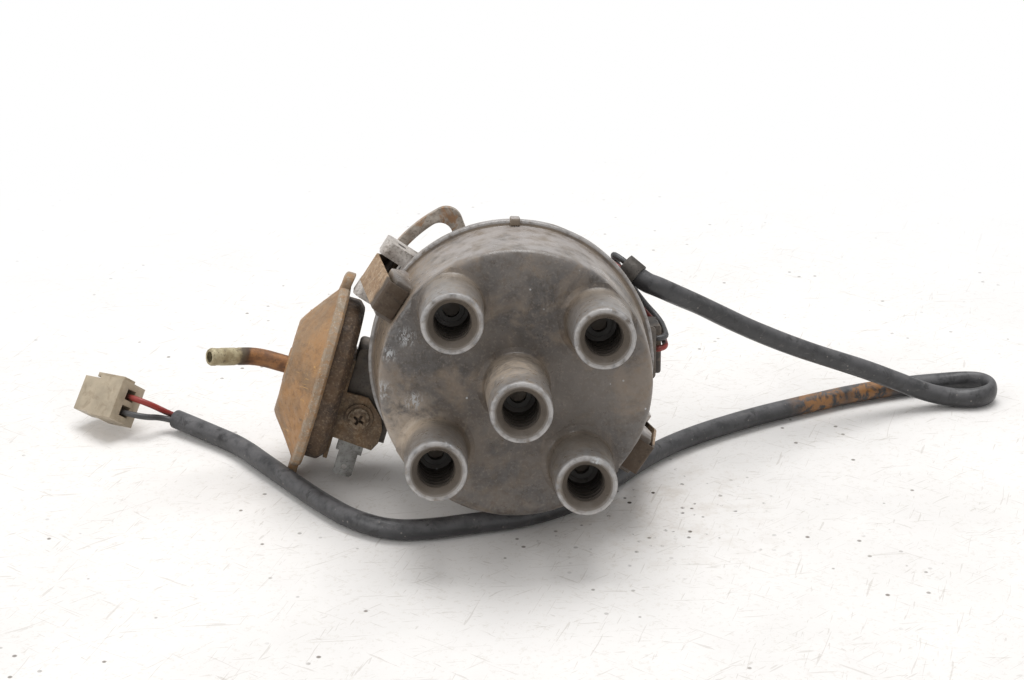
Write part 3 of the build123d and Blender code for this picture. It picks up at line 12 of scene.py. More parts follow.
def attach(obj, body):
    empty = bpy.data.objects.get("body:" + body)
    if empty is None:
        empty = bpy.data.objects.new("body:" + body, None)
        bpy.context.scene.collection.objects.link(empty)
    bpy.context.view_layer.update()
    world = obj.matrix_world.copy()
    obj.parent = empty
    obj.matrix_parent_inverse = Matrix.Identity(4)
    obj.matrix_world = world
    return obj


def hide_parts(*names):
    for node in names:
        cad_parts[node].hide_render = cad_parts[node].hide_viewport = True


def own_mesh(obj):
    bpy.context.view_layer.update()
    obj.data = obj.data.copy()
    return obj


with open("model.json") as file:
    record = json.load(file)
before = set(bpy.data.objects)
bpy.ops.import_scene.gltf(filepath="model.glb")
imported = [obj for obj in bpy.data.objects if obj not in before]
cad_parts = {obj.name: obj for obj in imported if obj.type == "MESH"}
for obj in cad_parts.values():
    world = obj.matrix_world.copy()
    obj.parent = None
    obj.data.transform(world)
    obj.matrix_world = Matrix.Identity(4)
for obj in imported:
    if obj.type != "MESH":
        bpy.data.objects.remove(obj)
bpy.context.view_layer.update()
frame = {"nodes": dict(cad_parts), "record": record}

bl_info = {
    "name": "Ignition distributor",
    "version": (1, 0, 0),
    "blender": (4, 5, 0),
    "location": "View3D > Sidebar > Distributor",
    "description": "Builds the surfaces, cords and stage of an ignition distributor round its model",
    "category": "Object",
}

MM = 0.001
LEAN = radians(80)  # from the shaft standing up to the way it lies
STANDING = Matrix.Rotation(LEAN, 4, "X")
BENCH = -39.03  # mm, the surface it lies on

# Sizes of the standing distributor in millimetres: the shaft is Z, the engine's pad is z = 0.
CAP_RIM_Z, CAP_FACE_Z, CAP_ROOF_Z = 35.0, 70.0, 64.0
CAP_RIM_R, CAP_FOOT_R, CAP_SHOULDER_R = 45.8, 43.8, 42.1
TOWER_CLOCK, TOWER_PITCH_R = 38.59, 31.76
TOWER_HEIGHT, CENTRE_TOWER_HEIGHT, SOCKET_DEPTH = 24.8, 32.9, 21.4
CLIP_CLOCKS = (146.8, -33.7)
LUG_TOP, LUG_HALF_W = 60.2, 6.5
LUG_FLAT_R = 41.7  # where the skirt is cut back over a lug, for the clip's hook
TOWER_REACH = CAP_SHOULDER_R - 0.1  # the towers' coves end inside the shoulder
CAN_CLOCK, CAN_FOOT, CAN_DEPTH = 163.0, (57.1, 26.3, 17.6), 11.0
TAB_THICK, TAB_FLAT, TAB_WEAR = 3.0, 31.5, 0.8  # of the tabs on the canister's rim
NIPPLE_R, NIPPLE_WALL, NIPPLE_POCKET = 2.9, 0.75, 14.0
NIPPLE_GROOVES = ((9.3, 10.6, 0.14), (2.4, 3.9, 0.1))  # from, to and depth, measured from the open end
NIPPLE_BREAK, NIPPLE_BREAK_DEPTH = 0.5, 0.35  # length and depth of the edge broken at its end
SCREW_SHARP = 35.0  # degrees
SPRING_AXES = {  # the joint that presses each spring and the way it goes, as the part lies
    "brush_spring": ("brush_press", (0.0, -0.984808, 0.173648)),
    "diaphragm_spring": ("vacuum_pull", (-0.956305, 0.05077, 0.28793)),
}
# Screw heads: radius, height and depth sunk; clock angle, facing, places; finish and seed of the turns.
SCREW_HEADS = {
    "bracket_screw": ((3.6, 2.4, 8.0), CAN_CLOCK, (0, 0, 1), [(41.2, 33.9, 30.7)], "bracket", 3),
    "module_screws": ((2.7, 1.5, 6.0), 0.0, (1, 0, 0), [(47.1, -4.0, 15.7), (47.1, 5.4, 15.7)], "zinc", 5),
    "clamp_screw": ((3.0, 1.6, 4.0), 21.0, (1, 0, 0), [(43.5, 0, 18.8)], "zinc", 7),
}

# Rubbed spots of the cap: place, and how far the mark is full and where it ends.
SCUFFS = (
    ((-33.5, 15.5, 70), 0.8, 4.2), ((-38.5, 10.0, 69), 0.6, 3.4),
    ((-40.6, -1.0, 68.6), 0.6, 4.4), ((-31.5, -4.5, 70), 0.6, 4.0),
)
SCRATCH_WAYS = ((0.35, 1.0), (-0.9, 5.0), (1.5, 9.0), (0.9, 13.0))  # turn and seed of each set on the bench

# The stage, in metres.
FLOOR_REACH, FLOOR_DROP = 8.0, 0.0002
CAMERA_AT = (-0.0301, -0.6537, 0.2746)
CAMERA_RIGHT = Vector((0.99892835, -0.04558031, 0.00803704))
CAMERA_UP = Vector((0.01034418, 0.38912069, 0.9211287))
CAMERA_AHEAD = Vector((0.04511271, 0.92005844, -0.38917518))

# Routes of the cords, in metres as they lie.
ON_BENCH = -0.03563  # height of the sleeve's middle where it lies
SLEEVE_ROUTE = [
    (0.03778, -0.01284, 0.02963), (0.04415, -0.01656, 0.02520), (0.04860, -0.01640, 0.02350),
    (0.05500, -0.01320, 0.01930), (0.06360, -0.00840, 0.01390), (0.07620, -0.00260, 0.00530),
    (0.09000, 0.00280, -0.00300), (0.10500, 0.00860, -0.01100), (0.12100, 0.01460, -0.01860),
    (0.13700, 0.01960, -0.02640), (0.15100, 0.02200, -0.03320), (0.16050, 0.02300, ON_BENCH),
    (0.17000, 0.02080, ON_BENCH), (0.17720, 0.02600, ON_BENCH), (0.17500, 0.03460, ON_BENCH),
    (0.16600, 0.03720, ON_BENCH), (0.15400, 0.03560, ON_BENCH), (0.13980, 0.03200, ON_BENCH),
    (0.12330, 0.02590, ON_BENCH), (0.10680, 0.01820, ON_BENCH), (0.08830, 0.00920, ON_BENCH),
    (0.07220, -0.00060, ON_BENCH), (0.05760, -0.01100, ON_BENCH), (0.04600, -0.02240, ON_BENCH),
    (0.03660, -0.03440, ON_BENCH), (0.02760, -0.04620, ON_BENCH), (0.01600, -0.05720, ON_BENCH),
    (0.00160, -0.06480, ON_BENCH), (-0.01300, -0.06780, ON_BENCH), (-0.02640, -0.07120, ON_BENCH),
    (-0.03860, -0.07180, ON_BENCH), (-0.05000, -0.06520, ON_BENCH), (-0.05980, -0.05400, ON_BENCH),
    (-0.07020, -0.03940, ON_BENCH), (-0.08060, -0.02420, ON_BENCH), (-0.08960, -0.01060, ON_BENCH),
    (-0.09860, -0.00200, ON_BENCH), (-0.10650, 0.00480, -0.03523), (-0.11370, 0.01060, -0.03483),
]
WIRE_ROUTES = {
    "red": [
        (-0.10848, 0.00800, -0.03507), (-0.11564, 0.01377, -0.03468),
        (-0.12345, 0.00441, -0.02518), (-0.13369, 0.01316, -0.02596),
    ],
    "grey": [
        (-0.11005, 0.00605, -0.03507), (-0.11721, 0.01182, -0.03468),
        (-0.12536, 0.00122, -0.02963), (-0.13560, 0.00998, -0.03040),
    ],
}
LEAD_ROUTES = {
    "grey": [
        (0.04650, -0.02303, 0.00873), (0.04650, -0.02747, 0.00951), (0.05090, -0.02726, 0.01009),
        (0.05110, -0.02026, 0.00946), (0.05090, -0.00903, 0.00870), (0.04460, -0.00417, 0.01434),
        (0.03460, -0.00468, 0.02987), (0.03522, -0.01073, 0.03291), (0.04270, -0.01509, 0.02771),
    ],
    "red": [
        (0.04650, -0.02362, 0.00538), (0.04650, -0.02806, 0.00617), (0.05090, -0.02785, 0.00674),
        (0.05110, -0.01885, 0.00596), (0.05090, -0.00781, 0.00524), (0.04360, -0.00271, 0.01226),
        (0.03280, -0.00331, 0.02617), (0.03367, -0.01107, 0.03097), (0.04115, -0.01543, 0.02578),
    ],
}
WIRE_D, LEAD_D = 0.0021, 0.0020
FOLD_AT = Vector((0.1765, 0.0285, -0.0356))
FOLD_REACH, FOLD_THIN, FOLD_TALL = 0.021, 0.36, 0.22  # how far and how much the sleeve is pressed there
SLEEVE_POCKET = 0.009


# ---- finishes --------------------------------------------------------------
class Finish:
    """A procedural material on Object coordinates, in millimetres of the standing or lying part."""

    def __init__(self, name, roughness=0.6, metallic=0.0, specular=0.5, standing=True):
        self.material = bpy.data.materials.new(name)
        self.material.use_nodes = True
        self.tree = self.material.node_tree
        self.shader = self.tree.nodes["Principled BSDF"]
        self.shader.inputs["Roughness"].default_value = roughness
        self.shader.inputs["Metallic"].default_value = metallic
        self.shader.inputs["Specular IOR Level"].default_value = specular
        source = self.node("TexCoord").outputs["Object"]
        self.place = self.mapped(source, (-LEAN, 0, 0) if standing else (0, 0, 0), 1 / MM)

    def node(self, kind, numbers=None, **values):
        """A shader node with its settings, and the numbers on its sockets by their names."""
        made = self.tree.nodes.new("ShaderNode" + kind)
        for key, value in values.items():
            setattr(made, key, value)
        for key, number in (numbers or {}).items():
            made.inputs[key].default_value = number
        return made

    def put(self, socket, value):
        if isinstance(value, bpy.types.NodeSocket):
            self.tree.links.new(value, socket)
        elif hasattr(value, "__len__") and len(value) == 3 and socket.type == "RGBA":
            socket.default_value = (*value, 1.0)
        else:
            socket.default_value = value

    def mapped(self, source, turn=(0, 0, 0), scale=1.0, shift=(0, 0, 0)):
        sizes = (scale,) * 3 if isinstance(scale, float) else scale
        made = self.node("Mapping", {"Rotation": turn, "Scale": sizes, "Location": shift})
        self.put(made.inputs["Vector"], source)
        return made.outputs["Vector"]

    def noise(self, size, detail=4.0, rough=0.55, warp=0.0, stretch=None, seed=0.0, turn=0.0):
        """Noise whose lumps are about size millimetres across."""
        numbers = {"Scale": 1.0 / size, "Detail": detail, "Roughness": rough, "Distortion": warp}
        made = self.node("TexNoise", numbers, noise_dimensions="3D")
        place = self.place
        if turn:
            place = self.mapped(place, (0, 0, turn))
        if stretch or seed:
            place = self.mapped(place, scale=stretch or 1.0, shift=(seed, seed * 1.7, -seed))
        self.put(made.inputs["Vector"], place)
        return made.outputs["Fac"]

    def patches(self, low, high, size, *rest, **more):
        """Noise cut to patches: 0 where it is below low, 1 above high."""
        return self.step(self.noise(size, *rest, **more), low, high)

    def cells(self, size, seed=0.0):
        """How far the nearest point of a scatter is, about size millimetres apart."""
        made = self.node("TexVoronoi", {"Scale": 1.0 / size}, feature="F1")
        self.put(made.inputs["Vector"], self.mapped(self.place, shift=(seed, -seed, seed * 2)))
        return made.outputs["Distance"]

    def step(self, value, low, high):
        """0 below low, 1 above high (or the other way round when low > high)."""
        flip = float(low > high)
        numbers = {"From Min": min(low, high), "From Max": max(low, high), "To Min": flip}
        numbers["To Max"] = 1.0 - flip
        made = self.node("MapRange", numbers, interpolation_type="SMOOTHSTEP")
        self.put(made.inputs["Value"], value)
        return made.outputs["Result"]

    def math(self, operation, a, b=0.0, clamp=False):
        made = self.node("Math", operation=operation, use_clamp=clamp)
        self.put(made.inputs[0], a)
        self.put(made.inputs[1], b)
        return made.outputs[0]

    def times(self, first, *rest):
        """Masks, or a mask and its strength, multiplied."""
        for other in rest:
            first = self.math("MULTIPLY", first, other, True)
        return first

    def either(self, first, *rest):
        """The greatest of several masks."""
        for other in rest:
            first = self.math("MAXIMUM", first, other, True)
        return first

    def mix(self, mask, a, b):
        made = self.node("Mix", data_type="RGBA")
        self.put(made.inputs[0], mask)
        self.put(made.inputs[6], a)
        self.put(made.inputs[7], b)
        return made.outputs[2]

    def blend(self, mask, a, b):
        """A number that goes from a to b with mask."""
        made = self.node("Mix", data_type="FLOAT")
        self.put(made.inputs[0], mask)
        self.put(made.inputs[2], a)
        self.put(made.inputs[3], b)
        return made.outputs[0]

    def value_of(self, name):
        return self.node("Attribute", attribute_name=name).outputs["Fac"]

    def along(self, axis):
        """One coordinate of the place, in millimetres."""
        made = self.node("SeparateXYZ")
        self.put(made.inputs[0], self.place)
        return made.outputs["XYZ".index(axis)]

    def facing(self, direction, low, high):
        """Where the surface faces a direction of the lying part."""
        normal = self.node("NewGeometry").outputs["Normal"]
        made = self.node("VectorMath", {1: direction}, operation="DOT_PRODUCT")
        self.put(made.inputs[0], normal)
        return self.step(made.outputs["Value"], low, high)

    def distance(self, spot):
        made = self.node("VectorMath", {1: spot}, operation="DISTANCE")
        self.put(made.inputs[0], self.place)
        return made.outputs["Value"]

    def near(self, spot, low, high):
        """1 within low millimetres of a spot, 0 beyond high."""
        return self.step(self.distance(spot), high, low)

    def crevice(self, reach, low=0.45, high=0.85):
        """1 in corners and pockets, 0 in the open."""
        made = self.node("AmbientOcclusion", {"Distance": reach * MM}, samples=6)
        return self.step(made.outputs["AO"], high, low)

    def bump(self, height, depth, before=None):
        made = self.node("Bump", {"Strength": 1.0, "Distance": depth * MM})
        self.put(made.inputs["Height"], height)
        if before is not None:
            self.put(made.inputs["Normal"], before)
        return made.outputs["Normal"]

    def ground(self, mask, a, b):
        """The colour that the coats go on: a, with b where mask is."""
        self.colour = self.mix(mask, a, b)

    def coat(self, colour, mask, *strengths):
        """One more colour over the rest, where all of its masks are."""
        self.colour = self.mix(self.times(mask, *strengths), self.colour, colour)

    def finish(self, roughness, normal):
        self.put(self.shader.inputs["Base Color"], self.colour)
        self.put(self.shader.inputs["Roughness"], roughness)
        self.put(self.shader.inputs["Normal"], normal)
        return self.material


def scaled(colour, factor, lift=0.0):
    """A colour made darker or lighter, none of it over 1."""
    return tuple(min(1, c * factor + lift) for c in colour)


def phenolic(settings):
    """Old moulded cap: dark, bruised, dust with painted sheen on top, brown in the hollows, worn grey lips
    with painted highlights on their crests, and a painted highlight on the centre tower.
    """
    f = Finish("cap_phenolic", 0.5, specular=0.55)
    f.ground(f.patches(0.35, 0.68, 26, 3, seed=3), settings.dark, settings.light)
    f.coat((0.24, 0.2, 0.17), f.patches(0.52, 0.7, 0.9, 3), 0.4)
    brown = f.times(f.patches(0.47, 0.68, 14, 5, 0.62, 0.6, seed=11), 0.85)
    low_face = f.times(f.near((-14, -31, 70), 6, 34), 0.6)
    brown = f.either(brown, f.times(low_face, f.patches(0.3, 0.6, 6, 4, seed=5)))
    f.coat(settings.dust, brown, 0.75)
    skirt = f.step(f.along("Z"), CAP_FACE_Z - 0.4, CAP_FACE_Z - 3.0)
    tower = f.step(f.along("Z"), CAP_FACE_Z + 0.4, CAP_FACE_Z + 1.4)
    soil = f.patches(0.34, 0.62, 8, 5, 0.64, 0.5, stretch=(1, 1, 0.5))
    f.coat((0.2, 0.158, 0.118), skirt, soil, 0.8)
    f.coat((0.155, 0.125, 0.096), tower, soil, 0.7)
    hollow = f.crevice(10, 0.35, 0.85)
    f.coat((0.19, 0.14, 0.095), hollow, 0.65)
    # Lighter grey on upward-facing surfaces, strong on the skirt and weak on the towers: dust, and a painted
    # sheen of the lamp above.
    above = f.times(f.facing((0, 0.1, 1), 0.45, 0.95), f.patches(0.28, 0.6, 7, 5, 0.6))
    f.coat((0.37, 0.34, 0.325), above, skirt, 0.78)
    f.coat((0.31, 0.265, 0.22), above, tower, 0.32)
    # Painted highlight on the upper left side of the centre tower, and light brown dust at the left of the
    # face.
    dust_and_tower_highlight = f.either(f.near((-7.0, 5.0, 86), 9, 17), f.near((-33, -12, 70), 3, 15))
    dust_and_tower_highlight = f.times(dust_and_tower_highlight, f.patches(0.3, 0.62, 5, 5, 0.66, 0.4, seed=21))
    f.coat((0.46, 0.375, 0.29), dust_and_tower_highlight, 0.85)
    left = f.times(f.facing((-1, 0, 0.1), 0.3, 1.0), skirt)
    grit = f.patches(0.42, 0.6, 1.7, 5, 0.72, seed=12)
    f.coat((0.3, 0.22, 0.145), left, grit, 0.7)
    streak = f.patches(0.56, 0.64, 3.0, 5, 0.7, 0.6, stretch=(0.8, 0.8, 2.6), seed=14)
    f.coat((0.05, 0.042, 0.036), streak, tower, 0.6)
    # Worn grey lips of the towers; the colour is raised so that it also stands for a painted highlight on
    # their crests.
    wear = f.times(f.value_of("wear"), f.patches(0.36, 0.56, 2.0, 4, 0.68, seed=7))
    f.coat(settings.worn, wear, 0.75)
    # Painted highlight of light bounced up from the bench, on the worn lips where they face the camera.
    lip_bounce_highlight = f.times(f.step(f.value_of("wear"), 0.3, 0.8), f.facing((0, -1, 0.25), 0.15, 0.8))
    f.coat((0.4, 0.385, 0.375), lip_bounce_highlight, f.patches(0.3, 0.6, 3, 4, 0.6, seed=23))
    inside = f.value_of("inside")
    funnel = f.times(f.step(inside, 0.12, 0.35), f.step(inside, 0.8, 0.6))
    f.coat((0.125, 0.105, 0.086), funnel, 0.75)
    f.coat((0.07, 0.06, 0.052), f.step(inside, 0.65, 0.95), 0.85)
    clip_grease = f.either(f.near((-40.3, 26.4, 58), 6, 12), f.near((40.0, -26.7, 58), 6, 12))
    f.coat((0.06, 0.046, 0.035), clip_grease, 0.8)
    dots = f.times(f.step(f.cells(5.5, 2.0), 0.075, 0.04), f.patches(0.52, 0.6, 17, 2, seed=9))
    scuff = f.either(*(f.near(*spot) for spot in SCUFFS))
    scuff = f.times(scuff, f.patches(0.47, 0.6, 1.6, 3, 0.7, 0.8, stretch=(1.5, 0.7, 1)))
    chip = f.times(f.near((22.5, -17.3, 95), 0.6, 2.3), f.patches(0.42, 0.55, 0.9, 2))
    rims = f.times(f.step(f.value_of("wear"), 0.55, 0.9), f.step(f.cells(2.6, 8.0), 0.16, 0.08))
    marks = f.either(dots, chip, f.times(scuff, 0.85), f.times(rims, 0.8))
    f.coat((0.46, 0.47, 0.48), marks)
    rough = f.blend(wear, f.blend(f.patches(0.3, 0.7, 5, 4), 0.26, 0.46), 0.3)
    fine = f.bump(f.noise(0.5, 3), 0.04)
    normal = f.bump(f.noise(3.2, 5, 0.6), 0.15, fine)
    return f.finish(rough, normal)


def rusted(name, base, rust, bright, bright_amount=0.5, metallic=0.25, size=1.0, standing=True, grime_and_shade=0.6):
    """Plated sheet steel gone brown: mottled rust, bright scratches, and grime with painted shade darkening
    its corners.
    """
    f = Finish(name, 0.62, metallic, 0.4, standing)
    f.ground(f.patches(0.34, 0.66, 9 * size, 6, 0.66, 0.4), base, rust)
    speck = f.patches(0.5, 0.66, 0.9 * size, 4, 0.7)
    f.coat(bright, speck, 0.55)
    streak = f.patches(0.55, 0.68, 3.5 * size, 6, 0.74, 1.2, stretch=(1.0, 0.55, 1.4), seed=4)
    f.coat(bright, streak, bright_amount)
    pits = f.patches(0.6, 0.7, 1.6 * size, 5, 0.7, seed=6)
    f.coat(scaled(base, 0.35), pits, 0.6)
    wear = f.times(f.value_of("wear"), f.patches(0.4, 0.6, 1.2, 4, 0.7, seed=2))
    f.coat(scaled(bright, 1.25, 0.1), wear, 0.85)
    # Near black in corners and pockets, found by occlusion: painted shade, with grime.
    f.coat((0.035, 0.026, 0.02), f.crevice(4.0, 0.3, 0.75), grime_and_shade)
    rough = f.blend(f.patches(0.35, 0.65, 2.5, 4), 0.48, 0.82)
    normal = f.bump(f.noise(1.0 * size, 5, 0.7), 0.12, f.bump(f.noise(6 * size, 4), 0.25))
    return f.finish(rough, normal)


def canister_finish(settings):
    """Gold plating gone to rust: brown clouds, scratches down the cone, a worn pale rim."""
    f = Finish("canister_rust", 0.6, 0.2, 0.4)
    cloud = f.patches(0.36, 0.64, 15, 5, 0.6, 0.5)
    f.ground(cloud, settings.brown, settings.rust)
    f.coat((0.15, 0.088, 0.05), f.patches(0.5, 0.66, 2.4, 5, 0.66, seed=5), 0.45)
    # Lighter on the upward-facing surfaces of the cone: painted top light.
    pale = f.times(f.facing((0.1, 0, 1), 0.0, 0.9), f.patches(0.38, 0.62, 6, 5, 0.65, seed=3))
    f.coat((0.36, 0.26, 0.17), pale, 0.35)
    scratch = f.patches(0.58, 0.66, 2.2, 4, 0.7, 1.4, stretch=(0.4, 1.8, 0.45), seed=4)
    scratch = f.times(scratch, f.patches(0.42, 0.6, 14, 3, seed=17))
    f.coat(settings.gold, scratch, 0.85)
    speck = f.patches(0.62, 0.7, 0.8, 3, 0.7, seed=8)
    f.coat((0.07, 0.045, 0.03), speck, 0.6)
    wear = f.times(f.value_of("wear"), f.patches(0.3, 0.62, 3.0, 5, 0.7, seed=2))
    f.coat((0.3, 0.255, 0.2), wear, 0.8)
    nicks = f.times(f.value_of("wear"), f.patches(0.54, 0.64, 0.7, 4, 0.7, seed=12))
    f.coat((0.46, 0.42, 0.36), nicks, 0.6)
    rough = f.blend(f.patches(0.35, 0.65, 3, 4), 0.5, 0.8)
    return f.finish(rough, f.bump(f.noise(1.2, 5, 0.7), 0.07, f.bump(f.noise(7, 4), 0.3)))


def clip_finish():
    """Spring clip: golden rust on its face, black grease on its hook and at its pivot end, and painted shade
    in its folds.
    """
    f = Finish("clip_passivated", 0.55, 0.35, 0.45)
    f.ground(f.patches(0.36, 0.64, 5, 6, 0.66, 0.4), (0.42, 0.3, 0.195), (0.28, 0.17, 0.09))
    speck = f.patches(0.52, 0.64, 1.0, 5, 0.7, seed=3)
    f.coat((0.58, 0.47, 0.34), speck, 0.6)
    pits = f.patches(0.56, 0.66, 1.8, 5, 0.7, seed=6)
    f.coat((0.09, 0.06, 0.04), pits, 0.7)
    height = f.math("ADD", f.along("Z"), f.math("MULTIPLY", f.noise(3, 4), 5.0))
    grease_and_fold_shade = f.either(f.step(height, 56.5, 60.5), f.step(height, 33.0, 29.0))
    # Its folds and corners, found by occlusion, get the same near black: painted shade.
    grease_and_fold_shade = f.either(grease_and_fold_shade, f.times(f.crevice(5.0, 0.35, 0.8), 0.8))
    f.coat((0.05, 0.037, 0.028), grease_and_fold_shade, 0.88)
    return f.finish(f.blend(f.noise(2, 4), 0.42, 0.75), f.bump(f.noise(0.9, 5, 0.7), 0.09))


def weathered_metal(name, light, dark, metallic=0.6, rust=None, rust_where=0.62, rough=0.5, standing=True):
    """Cast or plated metal with dull patches, speckle and a little corrosion."""
    f = Finish(name, rough, metallic, 0.5, standing)
    f.ground(f.patches(0.35, 0.66, 7, 6, 0.62, 0.3), light, dark)
    f.coat(scaled(dark, 0.45), f.patches(0.52, 0.66, 0.8, 4, 0.7), 0.6)
    if rust:
        mask = f.patches(rust_where, rust_where + 0.1, 8, 6, 0.68, 0.8, seed=8)
        f.coat(rust, mask, 0.85)
    # Near black in corners and pockets, found by occlusion: painted shade.
    f.coat((0.05, 0.04, 0.032), f.crevice(3.5, 0.3, 0.75), 0.65)
    wear = f.times(f.value_of("wear"), 0.7)
    f.coat(scaled(light, 1.3, 0.05), wear)
    roughness = f.blend(f.patches(0.3, 0.7, 3, 4), rough - 0.1, min(0.9, rough + 0.22))
    normal = f.bump(f.noise(0.7, 4, 0.65), 0.07)
    return f.finish(roughness, normal)


def casting_finish():
    """Cast alloy: bare and pale on the clip ears, black with oil and road dirt elsewhere."""
    f = Finish("cast_alloy", 0.55, 0.3, 0.5)
    f.ground(f.patches(0.35, 0.66, 7, 6, 0.62, 0.3), (0.66, 0.62, 0.585), (0.42, 0.375, 0.335))
    f.coat((0.15, 0.12, 0.095), f.patches(0.5, 0.64, 0.8, 4, 0.7), 0.6)
    ears = f.either(f.near((-44.5, 29.0, 24), 12, 17), f.near((42.5, -28.3, 24), 9, 14))
    dirt = f.patches(0.4, 0.62, 6, 6, 0.68, 0.5, seed=15)
    thick = f.either(f.math("SUBTRACT", 1.0, ears), f.times(dirt, 0.2))
    soiled = f.mix(f.patches(0.36, 0.66, 6, 4, 0.6, seed=8), (0.075, 0.063, 0.052), (0.14, 0.11, 0.082))
    f.coat(soiled, thick, 0.85)
    # Near black in corners and pockets, found by occlusion: painted shade.
    f.coat((0.045, 0.036, 0.028), f.crevice(4.0, 0.3, 0.75), 0.7)
    return f.finish(f.blend(thick, 0.45, 0.72), f.bump(f.noise(0.8, 4, 0.6), 0.06))


def plain_metal(name, colour, metallic=0.9, rough=0.35):
    f = Finish(name, rough, metallic)
    f.ground(f.patches(0.3, 0.7, 5, 4), colour, scaled(colour, 0.8))
    roughness = f.blend(f.noise(2, 3), rough - 0.08, rough + 0.14)
    return f.finish(roughness, f.bump(f.noise(0.4, 2), 0.012))


def moulded(name, colour, rough=0.5, dirt=None, dirt_amount=0.5, standing=True, specular=0.5):
    """Plastic or rubber with a fine skin, patches of dirt and dirt in its corners."""
    f = Finish(name, rough, 0.0, specular, standing)
    f.ground(f.patches(0.3, 0.7, 8, 5, 0.6), colour, scaled(colour, 0.72))
    if dirt:
        patch = f.times(f.patches(0.5, 0.66, 4, 6, 0.68, 0.5, seed=3), dirt_amount)
        patch = f.either(patch, f.times(f.crevice(3.0, 0.4, 0.85), min(1.0, dirt_amount * 1.5)))
        f.coat(dirt, patch)
    roughness = f.blend(f.noise(3, 4), rough - 0.12, rough + 0.18)
    return f.finish(roughness, f.bump(f.noise(0.6, 4), 0.035))


def sleeve_finish(settings):
    """Black sleeving gone grey with dust and painted sheen on top, brown where it touched rust."""
    f = Finish("sleeve_pvc", 0.45, 0.0, 0.5, standing=False)
    f.ground(f.patches(0.32, 0.68, 12, 5, 0.6), settings.colour, scaled(settings.colour, 1.9))
    # Lighter on its upward-facing top: dust, and a painted sheen of the lamp above.
    dust = f.times(f.facing((-0.2, -0.15, 1), 0.1, 0.95), f.patches(0.25, 0.62, 5, 5, 0.62))
    f.coat(settings.dust, dust, 0.44)
    rub = f.patches(0.56, 0.68, 2.2, 5, 0.72, 0.5, stretch=(0.5, 1.6, 1.6), seed=5)
    f.coat((0.17, 0.155, 0.145), rub, 0.25)
    scrape = f.patches(0.55, 0.65, 6, 5, 0.7, 0.4, seed=16)
    f.coat((0.018, 0.017, 0.017), scrape, 0.7)
    stain = f.either(f.near((112.0, 20.5, -33.0), 5, 15), f.near((131.0, 28.5, -33.0), 4, 14))
    stain = f.times(stain, f.step(f.along("Z"), -28.0, -31.5))
    stain = f.times(stain, f.patches(0.42, 0.58, 4, 5, 0.66, 0.6, seed=7))
    f.coat(settings.stain, stain, 0.72)
    specks = f.step(f.cells(3.4, 6.0), 0.12, 0.05)
    f.coat((0.3, 0.27, 0.24), specks, 0.45)
    rough = f.blend(dust, f.blend(f.noise(4, 4), 0.26, 0.42), 0.5)
    return f.finish(rough, f.bump(f.noise(1.6, 4, 0.6), 0.1, f.bump(f.noise(9, 3), 0.35)))


def nipple_finish():
    """Cream plating at the open end of the pipe, rust towards its root."""
    f = Finish("nipple_passivated", 0.55, 0.3, 0.45)
    root = clocked(CAN_CLOCK) @ (Vector(CAN_FOOT) + Vector((CAN_DEPTH, 0, 0)))
    out = f.math("ADD", f.distance(root), f.math("MULTIPLY", f.noise(4, 5, 0.65), 6.0))
    cream = f.mix(f.patches(0.35, 0.65, 2.5, 5, 0.65), (0.47, 0.415, 0.27), (0.3, 0.245, 0.145))
    rust = f.mix(f.patches(0.35, 0.65, 3, 5, 0.65, seed=2), (0.31, 0.15, 0.06), (0.16, 0.08, 0.042))
    f.ground(f.step(out, 16.5, 19.5), rust, cream)
    band = f.times(f.step(out, 15.5, 17.0), f.step(out, 20.5, 19.0))
    f.coat((0.05, 0.036, 0.028), band, 0.8)
    f.coat((0.07, 0.05, 0.035), f.patches(0.56, 0.66, 1.0, 4, 0.7, seed=6), 0.6)
    return f.finish(f.blend(f.noise(2, 4), 0.42, 0.75), f.bump(f.noise(0.9, 5, 0.7), 0.1))


def bench_finish(colour):
    """Pale bench, specked and scratched, that fades to white away from the distributor."""
    f = Finish("bench", 0.75, 0.0, 0.25, standing=False)
    f.ground(f.patches(0.35, 0.7, 60, 5, 0.6), colour, scaled(colour, 0.93))
    f.coat((0.6, 0.56, 0.5), f.patches(0.54, 0.66, 1.6, 4, 0.7), 0.3)
    specks = f.times(f.step(f.cells(8.0, 3.0), 0.11, 0.06), f.patches(0.46, 0.6, 30, 3, seed=4))
    f.coat((0.14, 0.115, 0.09), specks, 0.8)
    soil = f.near((46.0, -52.0, BENCH), 10, 60)
    crumbs = f.step(f.cells(3.4, 7.0), 0.26, 0.16)
    f.coat((0.07, 0.052, 0.04), soil, f.patches(0.5, 0.62, 7, 4, 0.7, seed=2), crumbs)
    f.coat((0.5, 0.43, 0.35), soil, f.times(f.patches(0.45, 0.7, 9, 5, 0.7, seed=6), 0.3))
    for turned, drift in SCRATCH_WAYS:
        hair = f.noise(3.0, 2, 0.4, 1.6, stretch=(2.4, 0.16, 1.0), seed=drift, turn=turned)
        f.coat((0.45, 0.41, 0.36), f.step(hair, 0.69, 0.715), 0.34)
    f.finish(0.75, f.bump(f.noise(3, 4), 0.03))
    away = f.step(f.distance((20.0, -60.0, BENCH)), 150.0, 420.0)
    seen = f.node("LightPath").outputs["Is Camera Ray"]
    white = f.node("Emission", {"Strength": 1.0})
    both = f.node("MixShader")
    f.put(both.inputs[0], f.times(seen, away))
    f.put(both.inputs[1], f.shader.outputs[0])
    f.put(both.inputs[2], white.outputs[0])
    f.put(f.tree.nodes["Material Output"].inputs["Surface"], both.outputs[0])
    return f.material


FINISHES = {}  # filled by the finishes operator


